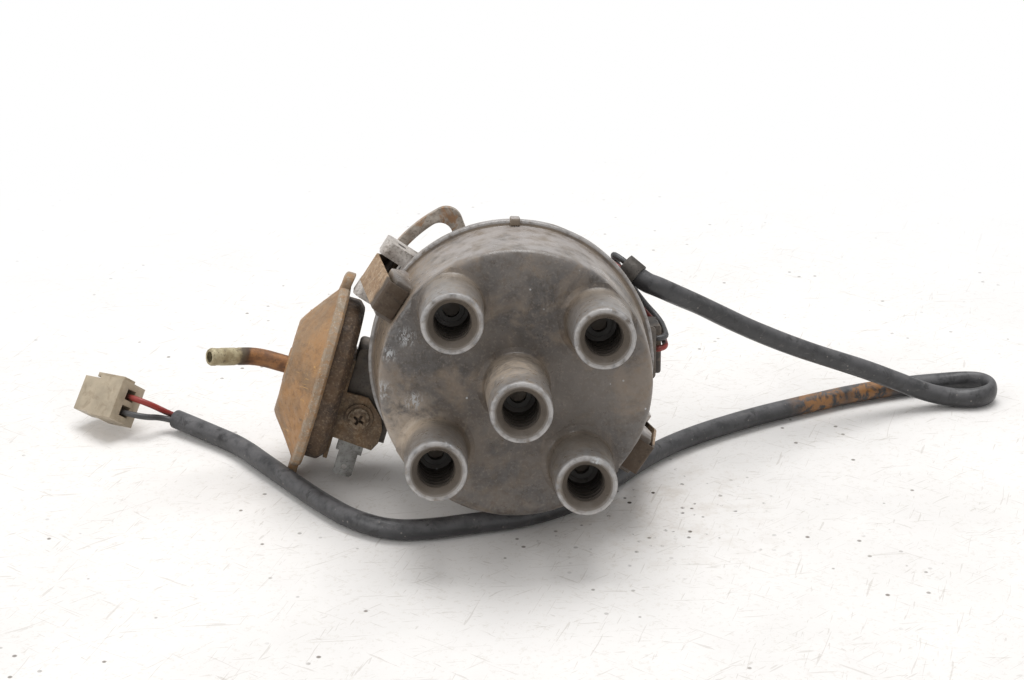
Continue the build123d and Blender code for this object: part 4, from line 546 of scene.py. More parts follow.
# ---- shape helpers ---------------------------------------------------------
def soften(points, step_len=2.5, arc_steps=5):
    """Points (across, up, round, wear) to a finely divided outline with its corners rounded."""
    corners = []
    for i, (r, z, radius, wear) in enumerate(points):
        here = Vector((r, z))
        if radius <= 0 or i in (0, len(points) - 1):
            corners.append((here, wear))
            continue
        before, after = Vector(points[i - 1][:2]) - here, Vector(points[i + 1][:2]) - here
        a, b = before.normalized(), after.normalized()
        half = a.angle(b) / 2
        reach = radius / max(0.05, sin(half) / cos(half))
        reach = min(reach, 0.49 * before.length, 0.49 * after.length)
        for k in range(arc_steps + 1):
            t = k / arc_steps
            start, end = here + a * reach, here + b * reach
            corners.append(((1 - t) ** 2 * start + 2 * t * (1 - t) * here + t * t * end, wear))
    line = [corners[0]]
    for (p, w0), (q, w1) in zip(corners, corners[1:]):
        parts = max(1, round((q - p).length / step_len))
        line += [(p.lerp(q, k / parts), w0 + (w1 - w0) * k / parts) for k in range(1, parts + 1)]
    return [(p.x, p.y, w) for p, w in line if p.x >= -1e-6]


def give_points(mesh, label, values):
    """One number for each point of a mesh, for its finish to read."""
    mesh.attributes.new(label, "FLOAT", "POINT").data.foreach_set("value", values)


def revolved(name, outline, steps, place=Matrix(), inside=None):
    """A closed outline of (radius, height, wear) turned about Z and put in its place, in millimetres."""
    verts, wears, insides, rings = [], [], [], []
    for r, z, wear in outline:
        pole = r < 1e-4
        count = 1 if pole else steps
        rings.append((len(verts), pole))
        for k in range(count):
            angle = 2 * pi * k / steps
            verts.append((r * cos(angle), r * sin(angle), z))
            wears.append(wear)
            insides.append(inside(r, z) if inside else 0.0)
    faces = []
    for (a, a_pole), (b, b_pole) in zip(rings, rings[1:]):
        for k in range(steps):
            n = (k + 1) % steps
            ring = [first + (0 if pole else at) for first, pole, at in (
                (a, a_pole, k), (a, a_pole, n), (b, b_pole, n), (b, b_pole, k),
            )]
            face = list(dict.fromkeys(ring))
            if len(face) > 2:
                faces.append(face)
    mesh = bpy.data.meshes.new(name)
    mesh.from_pydata([place @ Vector(v) for v in verts], [], faces)
    give_points(mesh, "wear", wears)
    give_points(mesh, "inside", insides)
    return mesh


def turned_right(mesh, merge=1e-4):
    """Doubles merged and faces pointing outwards."""
    work = bmesh.new()
    work.from_mesh(mesh)
    bmesh.ops.remove_doubles(work, verts=work.verts, dist=merge)
    bmesh.ops.recalc_face_normals(work, faces=work.faces)
    work.to_mesh(mesh)
    work.free()
    return mesh


def linked(name, data):
    """A new object in the scene."""
    made = bpy.data.objects.new(name, data)
    bpy.context.scene.collection.objects.link(made)
    return made


def removed(made):
    """Takes an object and its mesh out of the file."""
    mesh = made.data
    bpy.data.objects.remove(made)
    bpy.data.meshes.remove(mesh)


def dressed(mesh, finish, sharp):
    """Gives a mesh one finish, shaded smooth but for its sharp edges."""
    mesh.materials.clear()
    mesh.materials.append(FINISHES[finish])
    mesh.polygons.foreach_set("use_smooth", [True] * len(mesh.polygons))
    mesh.set_sharp_from_angle(angle=radians(sharp))


def object_from(mesh, name, finish, sharp=40.0):
    """An object at the origin from a mesh in metres."""
    made = linked(name, mesh)
    dressed(mesh, finish, sharp)
    return made


def joined(name, meshes):
    """Several meshes as one, with their attributes."""
    verts, faces, values = [], [], {"wear": [], "inside": []}
    for mesh in meshes:
        start = len(verts)
        verts += [tuple(v.co) for v in mesh.vertices]
        faces += [[start + i for i in p.vertices] for p in mesh.polygons]
        for label, store in values.items():
            found = mesh.attributes.get(label)
            store += [d.value for d in found.data] if found else [0.0] * len(mesh.vertices)
        bpy.data.meshes.remove(mesh)
    whole = bpy.data.meshes.new(name)
    whole.from_pydata(verts, [], faces)
    for label, store in values.items():
        give_points(whole, label, store)
    return whole


def weather(mesh, amount, size, seed=0.0):
    """Gentle unevenness of an old surface, in millimetres."""
    shift = Vector((seed, seed * 2, seed * 3))
    spots = [v.co.copy() for v in mesh.vertices]
    outward = [n.vector.copy() for n in mesh.vertex_normals]
    moved = []
    for spot, way in zip(spots, outward):
        moved.extend(spot + way * (noise.noise(spot / (size * MM) + shift) * amount * MM))
    mesh.vertices.foreach_set("co", moved)
    mesh.update()


def applied(made):
    """The object with its modifiers made real."""
    bpy.context.view_layer.update()
    graph = bpy.context.evaluated_depsgraph_get()
    mesh = bpy.data.meshes.new_from_object(
        made.evaluated_get(graph), preserve_all_data_layers=True, depsgraph=graph
    )
    made.modifiers.clear()
    old = made.data
    made.data = mesh
    bpy.data.meshes.remove(old)
    return made


def body_of(node):
    for body, members in frame["record"]["behaviour"]["bodies"].items():
        if node in members:
            return body
    raise RuntimeError(f"no body for {node}")


def stand_for(made, node):
    """The object rides on the node's body and replaces it."""
    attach(made, body_of(node))
    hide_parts(node)
    return made


def eased(node, finish, width=0.25, sharp=32.0, segments=2):
    """A piece like a CAD node, with its edges broken as on the real one."""
    mesh = frame["nodes"][node].data.copy()
    work = bmesh.new()
    work.from_mesh(mesh)
    bmesh.ops.remove_doubles(work, verts=work.verts, dist=2e-6)
    bmesh.ops.dissolve_limit(work, angle_limit=radians(0.6), verts=work.verts, edges=work.edges)
    work.to_mesh(mesh)
    work.free()
    for label in [a.name for a in mesh.attributes if a.name in ("custom_normal", "sharp_face", "sharp_edge")]:
        mesh.attributes.remove(mesh.attributes[label])
    made = object_from(mesh, node + "_eased", finish, sharp)
    if width:
        bevel = made.modifiers.new("ease", "BEVEL")
        bevel.width = width * MM
        bevel.segments = segments
        bevel.limit_method = "ANGLE"
        bevel.angle_limit = radians(sharp)
        bevel.use_clamp_overlap = True
        bevel.miter_outer = "MITER_ARC"
        applied(made)
        made.data.set_sharp_from_angle(angle=radians(sharp + 10))
    return stand_for(made, node)


def shortened(node, finish, way):
    """A spring like its CAD node, with a mesh of its own."""
    made = eased(node, finish, 0.0)
    way = Vector(way)
    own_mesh(made)


def painted(finish, *nodes):
    """CAD nodes that keep their shape and get a finish."""
    for node in nodes:
        target = frame["nodes"][node]
        if not target.data.materials:
            target.data.materials.append(None)
        for place in target.material_slots:
            place.material = FINISHES[finish]


def route_line(points, resolution=14):
    """The smooth line of a route, as points along its NURBS spline."""
    curve = spline_curve("route", points, resolution)
    holder = linked("route", curve)
    bpy.context.view_layer.update()
    mesh = bpy.data.meshes.new_from_object(holder)
    line = [v.co.copy() for v in mesh.vertices]
    bpy.data.objects.remove(holder)
    bpy.data.curves.remove(curve)
    bpy.data.meshes.remove(mesh)
    return line


def spline_curve(name, points, resolution=14):
    curve = bpy.data.curves.new(name, "CURVE")
    curve.dimensions = "3D"
    curve.resolution_u = resolution
    spline = curve.splines.new("NURBS")
    spline.points.add(len(points) - 1)
    for target, point in zip(spline.points, points):
        target.co = (*point, 1.0)
    spline.order_u = 3
    spline.use_endpoint_u = True
    return curve


def tube_mesh(name, line, section, sides=24, pocket=None):
    """A tube round a line; section(along) gives its half width, half height and lift, in metres.
    pocket is the wall and depth of the hollow at each end."""
    rows, travelled = [], [0.0]
    for a, b in zip(line, line[1:]):
        travelled.append(travelled[-1] + (b - a).length)
    for i, here in enumerate(line):
        before, after = line[max(0, i - 1)], line[min(len(line) - 1, i + 1)]
        tangent = (after - before).normalized()
        side = tangent.cross(Vector((0, 0, 1))).normalized()
        rows.append((here, side, side.cross(tangent).normalized(), travelled[i]))
    total = travelled[-1]

    def ring(row, shrink=0.0):
        here, side, up, at = row
        wide, tall, lift = section(at, total)
        spots = []
        for k in range(sides):
            angle = 2 * pi * k / sides
            across = side * (wide - shrink) * cos(angle)
            spots.append(here + across + up * ((tall - shrink) * sin(angle) + lift))
        return spots

    order = [(row, 0.0) for row in rows]
    if pocket:
        wall, depth = pocket
        start = [(row, wall) for row in reversed(rows) if row[3] <= depth]
        end = [(row, wall) for row in reversed(rows) if row[3] >= total - depth]
        order = start + order + end
    verts = [spot for row, shrink in order for spot in ring(row, shrink)]
    count = len(order)
    faces = []
    for i in range(count - 1):
        for k in range(sides):
            n = (k + 1) % sides
            faces.append([i * sides + k, i * sides + n, (i + 1) * sides + n, (i + 1) * sides + k])
    faces.append(list(range(sides))[::-1])
    faces.append([(count - 1) * sides + k for k in range(sides)])
    mesh = bpy.data.meshes.new(name)
    mesh.from_pydata(verts, [], faces)
    return turned_right(mesh, 1e-6)


def prism(outline, half, place, bevel=0.6, segments=3):
    """A plate from an outline of (across, up) points, half thick each way along Y, edges rounded."""
    work = bmesh.new()
    low = [work.verts.new((x, -half, z)) for x, z in outline]
    high = [work.verts.new((x, half, z)) for x, z in outline]
    work.faces.new(low)
    work.faces.new(high[::-1])
    for i in range(len(outline)):
        n = (i + 1) % len(outline)
        work.faces.new((low[n], low[i], high[i], high[n]))
    bmesh.ops.recalc_face_normals(work, faces=work.faces)
    if bevel:
        bmesh.ops.bevel(
            work, geom=list(work.edges), offset=bevel, segments=segments, profile=0.5,
            affect="EDGES", clamp_overlap=True,
        )
    mesh = bpy.data.meshes.new("prism")
    work.to_mesh(mesh)
    work.free()
    mesh.transform(place)
    return mesh


def clocked(angle):
    return Matrix.Rotation(radians(angle), 4, "Z")


def lying():
    """Standing millimetres to lying metres."""
    return STANDING @ Matrix.Scale(MM, 4)


def canister_place():
    out = clocked(CAN_CLOCK) @ Matrix.Translation(CAN_FOOT) @ Matrix.Rotation(radians(90), 4, "Y")
    return lying() @ out


# ---- settings --------------------------------------------------------------
def colour_property(name, description, default):
    return FloatVectorProperty(
        name=name, description=description, subtype="COLOR", size=3, min=0, max=1, default=default
    )


class CapSettings(bpy.types.PropertyGroup):
    dark: colour_property("Dark", "Colour of the clean moulding", (0.062, 0.052, 0.045))
    light: colour_property("Faded", "Colour where the moulding has faded", (0.155, 0.131, 0.11))
    dust: colour_property("Brown dust", "Colour of the oily dust", (0.25, 0.19, 0.135))
    # The worn lip colour is also a painted highlight on the crests of the tower lips.
    worn: colour_property("Worn lip", "Colour of the rubbed lips of the towers", (0.25, 0.255, 0.265))
    segments: IntProperty(name="Segments", description="Sides of the round cap", default=152, min=48, max=512)
    unevenness: FloatProperty(
        name="Unevenness", description="Lumps of the old surface, millimetres", default=0.11
    )


class CanisterSettings(bpy.types.PropertyGroup):
    rust: colour_property("Rust", "Colour of the cone", (0.39, 0.215, 0.095))
    brown: colour_property("Brown", "Colour of the dull patches", (0.25, 0.155, 0.085))
    gold: colour_property("Gold", "Colour of what is left of the plating", (0.62, 0.37, 0.13))


class SleeveSettings(bpy.types.PropertyGroup):
    diameter: FloatProperty(
        name="Diameter", description="Outside diameter", default=0.0066, unit="LENGTH", precision=4
    )
    wall: FloatProperty(
        name="Wall", description="Wall of the sleeving", default=0.0007, unit="LENGTH", precision=4
    )
    colour: colour_property("Colour", "Colour of the sleeving", (0.024, 0.024, 0.0255))
    # The dust colour is also the painted sheen on the sleeve's top.
    dust: colour_property("Dust", "Colour of the dust on it", (0.2, 0.195, 0.2))
    stain: colour_property("Stain", "Colour of the rust stain", (0.36, 0.16, 0.04))


class StageSettings(bpy.types.PropertyGroup):
    focal: FloatProperty(
        name="Lens", description="Focal length on a 36 mm sensor, millimetres", default=73.83
    )
    floor: colour_property("Floor", "Colour of the bench", (0.83, 0.81, 0.79))
    key: FloatProperty(name="Key", description="Power of the lamp above", default=17.0, unit="POWER")
    sky: FloatProperty(name="Surroundings", description="Strength of the even light", default=0.64)


SETTINGS = {
    "distributor_cap": CapSettings,
    "distributor_canister": CanisterSettings,
    "distributor_sleeve": SleeveSettings,
    "distributor_stage": StageSettings,
}


# ---- cap -------------------------------------------------------------------
def cap_body_outline():
    """Rim, skirt, shoulder and face, then the hollow under them."""
    return soften(
        [
            (0, CAP_FACE_Z, 0, 0), (CAP_SHOULDER_R, CAP_FACE_Z, 3.0, 0.25), (42.6, 61.0, 0, 0),
            (CAP_FOOT_R, CAP_RIM_Z + 3, 0.7, 0.0), (CAP_RIM_R, CAP_RIM_Z + 3, 0.8, 0.7),
            (CAP_RIM_R, CAP_RIM_Z, 0.7, 0.5), (35.6, CAP_RIM_Z, 0.3, 0), (35.6, 32.6, 0.3, 0),
            (33.8, 32.6, 0.3, 0), (33.8, 38.0, 0.4, 0), (37.4, 40.0, 1, 0), (36.4, 62, 1.5, 0),
            (34.4, CAP_ROOF_Z, 1, 0), (6.0, CAP_ROOF_Z, 0.6, 0), (6.0, 56.2, 0.5, 0),
            (2.4, 56.2, 0.3, 0), (2.4, 69.0, 0, 0), (0, 69.0, 0, 0),
        ],
        step_len=2.0,
    )


def tower_outline(height):
    """Cove, tapered wall, rounded lip, funnel mouth and ribbed bore of a tower that stands on z = 0."""
    floor = height - SOCKET_DEPTH
    points = [
        (0, -3.4, 0, 0), (12.1, -3.4, 0, 0), (12.1, 0.02, 0, 0), (10.55, 0.65, 1.2, 0),
        (9.88, 2.3, 1.0, 0), (9.35, height - 1.2, 0.8, 0.7), (9.05, height - 0.1, 0.7, 1.0),
        (8.2, height, 0.5, 0.6), (7.35, height - 0.45, 0.5, 0.25), (6.5, height - 1.9, 0.5, 0.15),
        (5.75, height - 3.0, 0.4, 0.1),
    ]
    depth = height - 4.4
    while depth > floor + 3.0:
        points += [
            (5.72, depth, 0.2, 0), (5.45, depth - 0.35, 0.15, 0.12), (5.45, depth - 0.75, 0.15, 0.12),
            (5.72, depth - 1.1, 0.2, 0),
        ]
        depth -= 3.1
    points += [
        (5.55, floor, 0.4, 0), (4.06, floor, 0.1, 0), (4.06, floor - 2.6, 0, 0), (0, floor - 2.6, 0, 0)
    ]
    return soften(points, step_len=1.5, arc_steps=4)


def lug_mesh(clock):
    place = clocked(clock)
    outline = [(39.5, 36.5), (CAP_FOOT_R + 0.8, 36.5), (49.46, 47.0), (47.2, LUG_TOP), (39.5, LUG_TOP)]
    return prism(outline, LUG_HALF_W, place, 0.7, 3)


def seen_inside(height):
    """How deep in a tower a point is: 0 outside, less than 1 in the funnel, 1 in the bore."""

    def share(r, z):
        if r > 7.6 or z < height - SOCKET_DEPTH - 0.2:
            return 0.0
        return 1.0 if z < height - 3.4 else 0.45

    return share


def cap_mesh(settings):
    body = revolved("cap_body", cap_body_outline(), settings.segments)
    for vert in body.vertices:
        for clock in CLIP_CLOCKS:
            spot = clocked(-clock) @ vert.co
            if spot.x > LUG_FLAT_R and abs(spot.y) < LUG_HALF_W + 0.6 and spot.z > LUG_TOP:
                spot.x = LUG_FLAT_R
                vert.co = clocked(clock) @ spot
    meshes = [body]
    spots = [(TOWER_PITCH_R, TOWER_CLOCK + 90 * k, TOWER_HEIGHT) for k in range(4)]
    spots.append((0, 0, CENTRE_TOWER_HEIGHT))
    for reach, angle, height in spots:
        place = clocked(angle) @ Matrix.Translation((reach, 0, CAP_FACE_Z))
        steps = settings.segments // 2
        made = revolved("tower", tower_outline(height), steps, place, seen_inside(height))
        for vert in made.vertices:
            out = hypot(vert.co.x, vert.co.y)
            if reach and out > TOWER_REACH:
                vert.co.xy = vert.co.xy * (TOWER_REACH / out)
        meshes.append(made)
    meshes += [lug_mesh(clock) for clock in CLIP_CLOCKS]
    nub = [(44.0, 34.9), (46.0, 34.9), (46.7, 35.6), (46.7, 38.2), (46.0, 38.9), (44.0, 38.9)]
    meshes.append(prism(nub, 1.6, clocked(88.6), 0.5, 3))
    whole = joined("cap_surface", meshes)
    whole.transform(lying())
    turned_right(whole, 1e-6)
    weather(whole, settings.unevenness, 6.0, 1.3)
    weather(whole, settings.unevenness * 0.5, 2.2, 4.1)
    return whole


# ---- vacuum canister -------------------------------------------------------
def canister_outline():
    """Crimped rim and cone of the front shell, with the bead pressed round its foot."""
    return soften(
        [
            (28.4, -2.1, 0.2, 0.2), (30.4, -2.1, 0.4, 0.5), (31.2, -1.3, 0.5, 1.0),
            (31.2, 0.8, 0.5, 1.0), (30.4, 1.5, 0.5, 0.9), (29.6, 1.25, 0.3, 0.3), (28.9, 1.45, 0.5, 0.2),
            (28.2, 1.85, 0.6, 0.1), (17.4, 9.75, 1.5, 0.2), (15.4, 10.95, 1.5, 0.5),
            (12.5, 11.0, 0.5, 0.2), (6.2, 11.0, 0.5, 0), (5.4, 11.35, 0.4, 0.2), (2.95, 11.35, 0.2, 0),
            (2.95, 10.0, 0, 0), (15.2, 10.0, 0.4, 0), (28.0, 0.5, 0.4, 0), (30.0, 0.5, 0.2, 0),
            (30.0, -1.6, 0.2, 0), (28.4, -1.6, 0, 0), (28.4, -2.1, 0, 0.2),
        ],
        step_len=0.8,
        arc_steps=5,
    )


def canister_mesh():
    meshes = [revolved("canister", canister_outline(), 160)]
    tab = [(-4.5, 30.2), (4.5, 30.2), (4.5, 33.4), (3.6, 34.9), (1.9, 35.4)]
    tab += [(-1.9, 35.4), (-3.6, 34.9), (-4.5, 33.4)]
    flat = Matrix(((1, 0, 0, 0), (0, 0, 1, 0), (0, 1, 0, 0), (0, 0, 0, 1)))
    for turn, bent in ((0, 0.0), (180, 0.9)):
        place = clocked(turn) @ Matrix.Translation((0, 0, -0.15)) @ flat
        made = prism(tab, TAB_THICK / 2, place, 0.5, 3)
        give_points(made, "wear", [TAB_WEAR] * len(made.vertices))
        for vert in made.vertices:
            over = max(0.0, abs(vert.co.y) - TAB_FLAT)
            vert.co.z -= bent * over * over / 15
        meshes.append(made)
    whole = joined("canister_surface", meshes)
    whole.transform(canister_place())
    turned_right(whole, 1e-6)
    weather(whole, 0.22, 11.0, 2.0)
    weather(whole, 0.08, 2.6, 6.0)
    return whole


def nipple_line():
    """Middle of the nipple: straight out of the canister, one bend, straight to its end."""
    turn, bend, start, run, end = radians(34.5), 14.0, 10.2, 6.0, 13.2
    top = CAN_DEPTH + run
    line = [Vector((0, 0, start + (top - start) * k / 10)) for k in range(10)]
    for k in range(19):
        a = turn * k / 18
        line.append(Vector((-bend * (1 - cos(a)), 0, top + bend * sin(a))))
    last, out = line[-1], Vector((-sin(turn), 0, cos(turn)))
    line += [last + out * end * k / 22 for k in range(1, 23)]
    place = canister_place() @ clocked(-13)
    return [place @ p for p in line]


def nipple_section(at, total):
    """Round, with a broken edge at its open end and two shallow grooves."""
    left = (total - at) / MM
    radius = NIPPLE_R - NIPPLE_BREAK_DEPTH * max(0.0, NIPPLE_BREAK - left) / NIPPLE_BREAK
    radius -= sum(depth for start, end, depth in NIPPLE_GROOVES if start < left < end)
    return radius * MM, radius * MM, 0.0


# ---- sleeve and wires ------------------------------------------------------
def sleeve_section(settings, line):
    """Round, but pressed flat and stood on edge where it folds back."""
    radius = settings.diameter / 2
    travelled, spots = 0.0, []
    for a, b in zip(line, line[1:]):
        spots.append((travelled, a))
        travelled += (b - a).length
    fold = min(spots, key=lambda s: (s[1] - FOLD_AT).length)[0]

    def section(at, _total):
        near = max(0.0, 1.0 - abs(at - fold) / FOLD_REACH)
        near = near * near * (3 - 2 * near)
        lump = noise.noise(Vector((at * 60, 0.3, 0.7))) * 0.06
        wide = radius * (1.0 - FOLD_THIN * near + lump)
        tall = radius * (1.0 + FOLD_TALL * near - lump * 0.6)
        return wide, tall, max(0.0, tall - radius)

    return section


# ---- screws ----------------------------------------------------------------
def head_mesh(name, radius, height, sink):
    """A domed head, z up, with a cross cut into it; sink runs down below the seat."""
    outline = soften(
        [
            (0, height, 0, 0), (radius * 0.55, height * 0.96, 1.2, 0.2),
            (radius * 0.96, height * 0.45, 0.5, 0.8), (radius, 0, 0.1, 0.3),
            (radius * 0.9, -sink, 0, 0), (0, -sink, 0, 0),
        ],
        step_len=0.4,
    )
    mesh = turned_right(revolved(name, outline, 40), 1e-5)
    made = linked(name, mesh)
    cutters = []
    long_half = radius * 0.52
    for turn in (0, 90):
        outline = [(-long_half, height + 1), (-long_half, height * 0.62), (-long_half * 0.45, height * 0.22)]
        outline += [(-x, z) for x, z in reversed(outline)]
        cut = prism(outline, radius * 0.13, clocked(turn), 0)
        cutter = linked("recess", cut)
        cutters.append(cutter)
        taken = made.modifiers.new("recess", "BOOLEAN")
        taken.operation, taken.object, taken.solver = "DIFFERENCE", cutter, "EXACT"
    applied(made)
    for cutter in cutters:
        removed(cutter)
    made.data.transform(Matrix.Scale(MM, 4))
    return made


def screw_tree():
    """Puts one screw head on every point, turned by the point's turn and a spin of its own."""
    tree = bpy.data.node_groups.new("screw_heads", "GeometryNodeTree")
    for name, kind, way in (
        ("Points", "NodeSocketGeometry", "INPUT"), ("Head", "NodeSocketObject", "INPUT"),
        ("Spin", "NodeSocketFloat", "INPUT"), ("Seed", "NodeSocketInt", "INPUT"),
        ("Finish", "NodeSocketMaterial", "INPUT"), ("Screws", "NodeSocketGeometry", "OUTPUT"),
    ):
        tree.interface.new_socket(name, in_out=way, socket_type=kind)
    made = {name: tree.nodes.new(kind) for name, kind in (
        ("in", "NodeGroupInput"), ("out", "NodeGroupOutput"), ("head", "GeometryNodeObjectInfo"),
        ("turn", "GeometryNodeInputNamedAttribute"), ("upright", "FunctionNodeEulerToRotation"),
        ("place", "GeometryNodeInstanceOnPoints"), ("chance", "FunctionNodeRandomValue"),
        ("spin", "GeometryNodeRotateInstances"), ("twist", "ShaderNodeCombineXYZ"),
        ("real", "GeometryNodeRealizeInstances"), ("coat", "GeometryNodeSetMaterial"),
    )}
    made["turn"].data_type = "FLOAT_VECTOR"
    made["turn"].inputs["Name"].default_value = "turn"
    for source, taken, target, given in (
        ("in", "Head", "head", "Object"), ("turn", "Attribute", "upright", 0),
        ("in", "Points", "place", "Points"), ("head", "Geometry", "place", "Instance"),
        ("upright", 0, "place", "Rotation"), ("in", "Spin", "chance", 3), ("in", "Seed", "chance", "Seed"),
        ("chance", 1, "twist", "Z"), ("place", "Instances", "spin", "Instances"),
        ("twist", 0, "spin", "Rotation"), ("spin", "Instances", "real", "Geometry"),
        ("real", "Geometry", "coat", "Geometry"), ("in", "Finish", "coat", "Material"),
        ("coat", "Geometry", "out", "Screws"),
    ):
        tree.links.new(made[source].outputs[taken], made[target].inputs[given])
    return tree


def screws(node, spots, head, finish, seed):
    """Screw heads that stand for a node; spots are (place, direction) as the part lies, in metres."""
    name = f"{node}_heads"
    mesh = bpy.data.meshes.new(name)
    mesh.from_pydata([p for p, _ in spots], [], [])
    turns = []
    for _, way in spots:
        turns += Vector(way).to_track_quat("Z", "X").to_euler()
    mesh.attributes.new("turn", "FLOAT_VECTOR", "POINT").data.foreach_set("vector", turns)
    made = linked(name, mesh)
    tree = bpy.data.node_groups.get("screw_heads") or screw_tree()
    layer = made.modifiers.new("screws", "NODES")
    layer.node_group = tree
    inputs = (item for item in tree.interface.items_tree if item.item_type == "SOCKET")
    keys = {item.name: item.identifier for item in inputs if item.in_out == "INPUT"}
    layer[keys["Head"]] = head
    layer[keys["Spin"]] = 2 * pi
    layer[keys["Seed"]] = seed
    layer[keys["Finish"]] = FINISHES[finish]
    applied(made)
    mesh = made.data
    mesh.polygons.foreach_set("material_index", [0] * len(mesh.polygons))
    dressed(mesh, finish, SCREW_SHARP)
    return stand_for(made, node)


# ---- operators -------------------------------------------------------------
class DISTRIBUTOR_OT_finishes(bpy.types.Operator):
    """Make every finish that the distributor takes"""

    bl_idname = "distributor.finishes"
    bl_label = "Finishes"

    def execute(self, context):
        scene = context.scene
        can, cap = scene.distributor_canister, scene.distributor_cap
        sleeve = scene.distributor_sleeve
        FINISHES.clear()
        FINISHES.update(
            cap=phenolic(cap),
            canister=canister_finish(can),
            canister_dark=rusted(
                "canister_dark", (0.07, 0.052, 0.042), (0.14, 0.09, 0.055), (0.3, 0.22, 0.14), 0.2
            ),
            bracket=rusted("bracket_rust", (0.17, 0.125, 0.088), (0.27, 0.175, 0.1), (0.42, 0.33, 0.23), 0.4),
            clip=clip_finish(),
            nipple=nipple_finish(),
            slotted=weathered_metal(
                "plate_zinc", (0.52, 0.465, 0.405), (0.26, 0.215, 0.175), 0.4, (0.33, 0.185, 0.095), 0.52
            ),
            cast=casting_finish(),
            zinc=weathered_metal(
                "zinc_steel", (0.36, 0.335, 0.3), (0.24, 0.215, 0.19), 0.6, (0.26, 0.16, 0.09), 0.66
            ),
            tarnished=weathered_metal(
                "tarnished_steel", (0.42, 0.42, 0.405), (0.19, 0.182, 0.17), 0.35, (0.22, 0.16, 0.11), 0.64
            ),
            ground=plain_metal("ground_steel", (0.42, 0.41, 0.4), 0.95, 0.28),
            dark=weathered_metal(
                "dark_steel", (0.11, 0.1, 0.09), (0.06, 0.052, 0.046), 0.5, (0.16, 0.095, 0.055), 0.6
            ),
            spring=plain_metal("spring_steel", (0.3, 0.29, 0.28), 0.9, 0.35),
            sintered=plain_metal("sintered_bronze", (0.32, 0.2, 0.11), 0.8, 0.5),
            brass=plain_metal("brass", (0.5, 0.34, 0.12), 0.9, 0.35),
            aluminium=plain_metal("terminal_aluminium", (0.2, 0.19, 0.18), 0.7, 0.55),
            copper=plain_metal("copper_coil", (0.42, 0.16, 0.07), 0.85, 0.4),
            magnet=moulded("magnet", (0.06, 0.058, 0.055), 0.55),
            carbon=moulded("carbon", (0.022, 0.022, 0.023), 0.6),
            rubber=moulded("seal_rubber", (0.025, 0.023, 0.022), 0.6, (0.12, 0.1, 0.08), 0.3),
            module=moulded("module_plastic", (0.08, 0.068, 0.058), 0.5, (0.24, 0.185, 0.135), 0.65),
            rotor=moulded("rotor_plastic", (0.2, 0.09, 0.045), 0.4, (0.1, 0.08, 0.06), 0.3),
            ivory=moulded(
                "ivory_plastic", (0.46, 0.385, 0.28), 0.42, (0.2, 0.145, 0.09), 0.4, standing=False
            ),
            red=moulded("red_insulation", (0.3, 0.03, 0.022), 0.4, (0.06, 0.035, 0.025), 0.6, standing=False),
            grey=moulded(
                "grey_insulation", (0.07, 0.07, 0.072), 0.4, (0.05, 0.042, 0.035), 0.5, standing=False
            ),
            sleeve=sleeve_finish(sleeve),
        )
        return {"FINISHED"}


class DISTRIBUTOR_OT_cap(bpy.types.Operator):
    """Build the moulded cap with its five towers"""

    bl_idname = "distributor.cap"
    bl_label = "Cap"

    def execute(self, context):
        made = object_from(cap_mesh(context.scene.distributor_cap), "cap_surface", "cap", 50)
        stand_for(made, "cap")
        return {"FINISHED"}


class DISTRIBUTOR_OT_canister(bpy.types.Operator):
    """Build the vacuum canister and its bent nipple"""

    bl_idname = "distributor.canister"
    bl_label = "Vacuum canister"

    def execute(self, context):
        front = object_from(canister_mesh(), "canister_surface", "canister", 50)
        stand_for(front, "canister_front")
        eased("canister_back", "canister_dark", 0.5, 30, 3)
        tube = tube_mesh(
            "nipple_surface", nipple_line(), nipple_section, 40, (NIPPLE_WALL * MM, NIPPLE_POCKET * MM)
        )
        made = object_from(tube, "nipple_surface", "nipple", 50)
        stand_for(made, "nipple_tube")
        return {"FINISHED"}


class DISTRIBUTOR_OT_castings(bpy.types.Operator):
    """Ease the edges of the housing, plate, bracket, blade and clips"""

    bl_idname = "distributor.castings"
    bl_label = "Housing, plate and clips"

    def execute(self, context):
        eased("housing", "cast", 0.35, 34)
        eased("fixing_plate", "slotted", 0.45, 34, 3)
        eased("vacuum_bracket", "bracket", 0.35, 34)
        eased("earth_terminal", "tarnished", 0.12, 34)
        eased("bracket_washer", "bracket", 0.15, 34)
        for side in ("upper", "lower"):
            eased(f"clip_{side}", "clip", 0.18, 34)
        eased("drive_dog", "dark", 0.3, 34)
        return {"FINISHED"}


class DISTRIBUTOR_OT_module(bpy.types.Operator):
    """Build the ignition module, its heat sink, its two leads and the lead clamp"""

    bl_idname = "distributor.module"
    bl_label = "Module"

    def execute(self, context):
        eased("heat_sink", "cast", 0.2, 34)
        eased("ignition_module", "module", 0.5, 34, 3)
        eased("lead_clamp", "dark", 0.2, 34)
        for colour, points in LEAD_ROUTES.items():
            line = route_line(points, 12)
            mesh = tube_mesh(f"lead_{colour}", line, lambda _at, _total: (LEAD_D / 2, LEAD_D / 2, 0.0), 16)
            made = object_from(mesh, f"lead_{colour}", colour)
            stand_for(made, f"module_lead_{colour}")
        return {"FINISHED"}


class DISTRIBUTOR_OT_screws(bpy.types.Operator):
    """Put the pan-head screws on the bracket, the module and the lead clamp"""

    bl_idname = "distributor.screws"
    bl_label = "Screws"

    def execute(self, context):
        for node, (size, clock, way, places, finish, seed) in SCREW_HEADS.items():
            radius, height, sink = size
            facing = STANDING.to_3x3() @ clocked(clock).to_3x3() @ Vector(way)
            spots = [(tuple(lying() @ clocked(clock) @ Vector(place)), tuple(facing)) for place in places]
            head = head_mesh(f"{node}_head", radius, height, sink)
            screws(node, spots, head, finish, seed)
            removed(head)
        return {"FINISHED"}


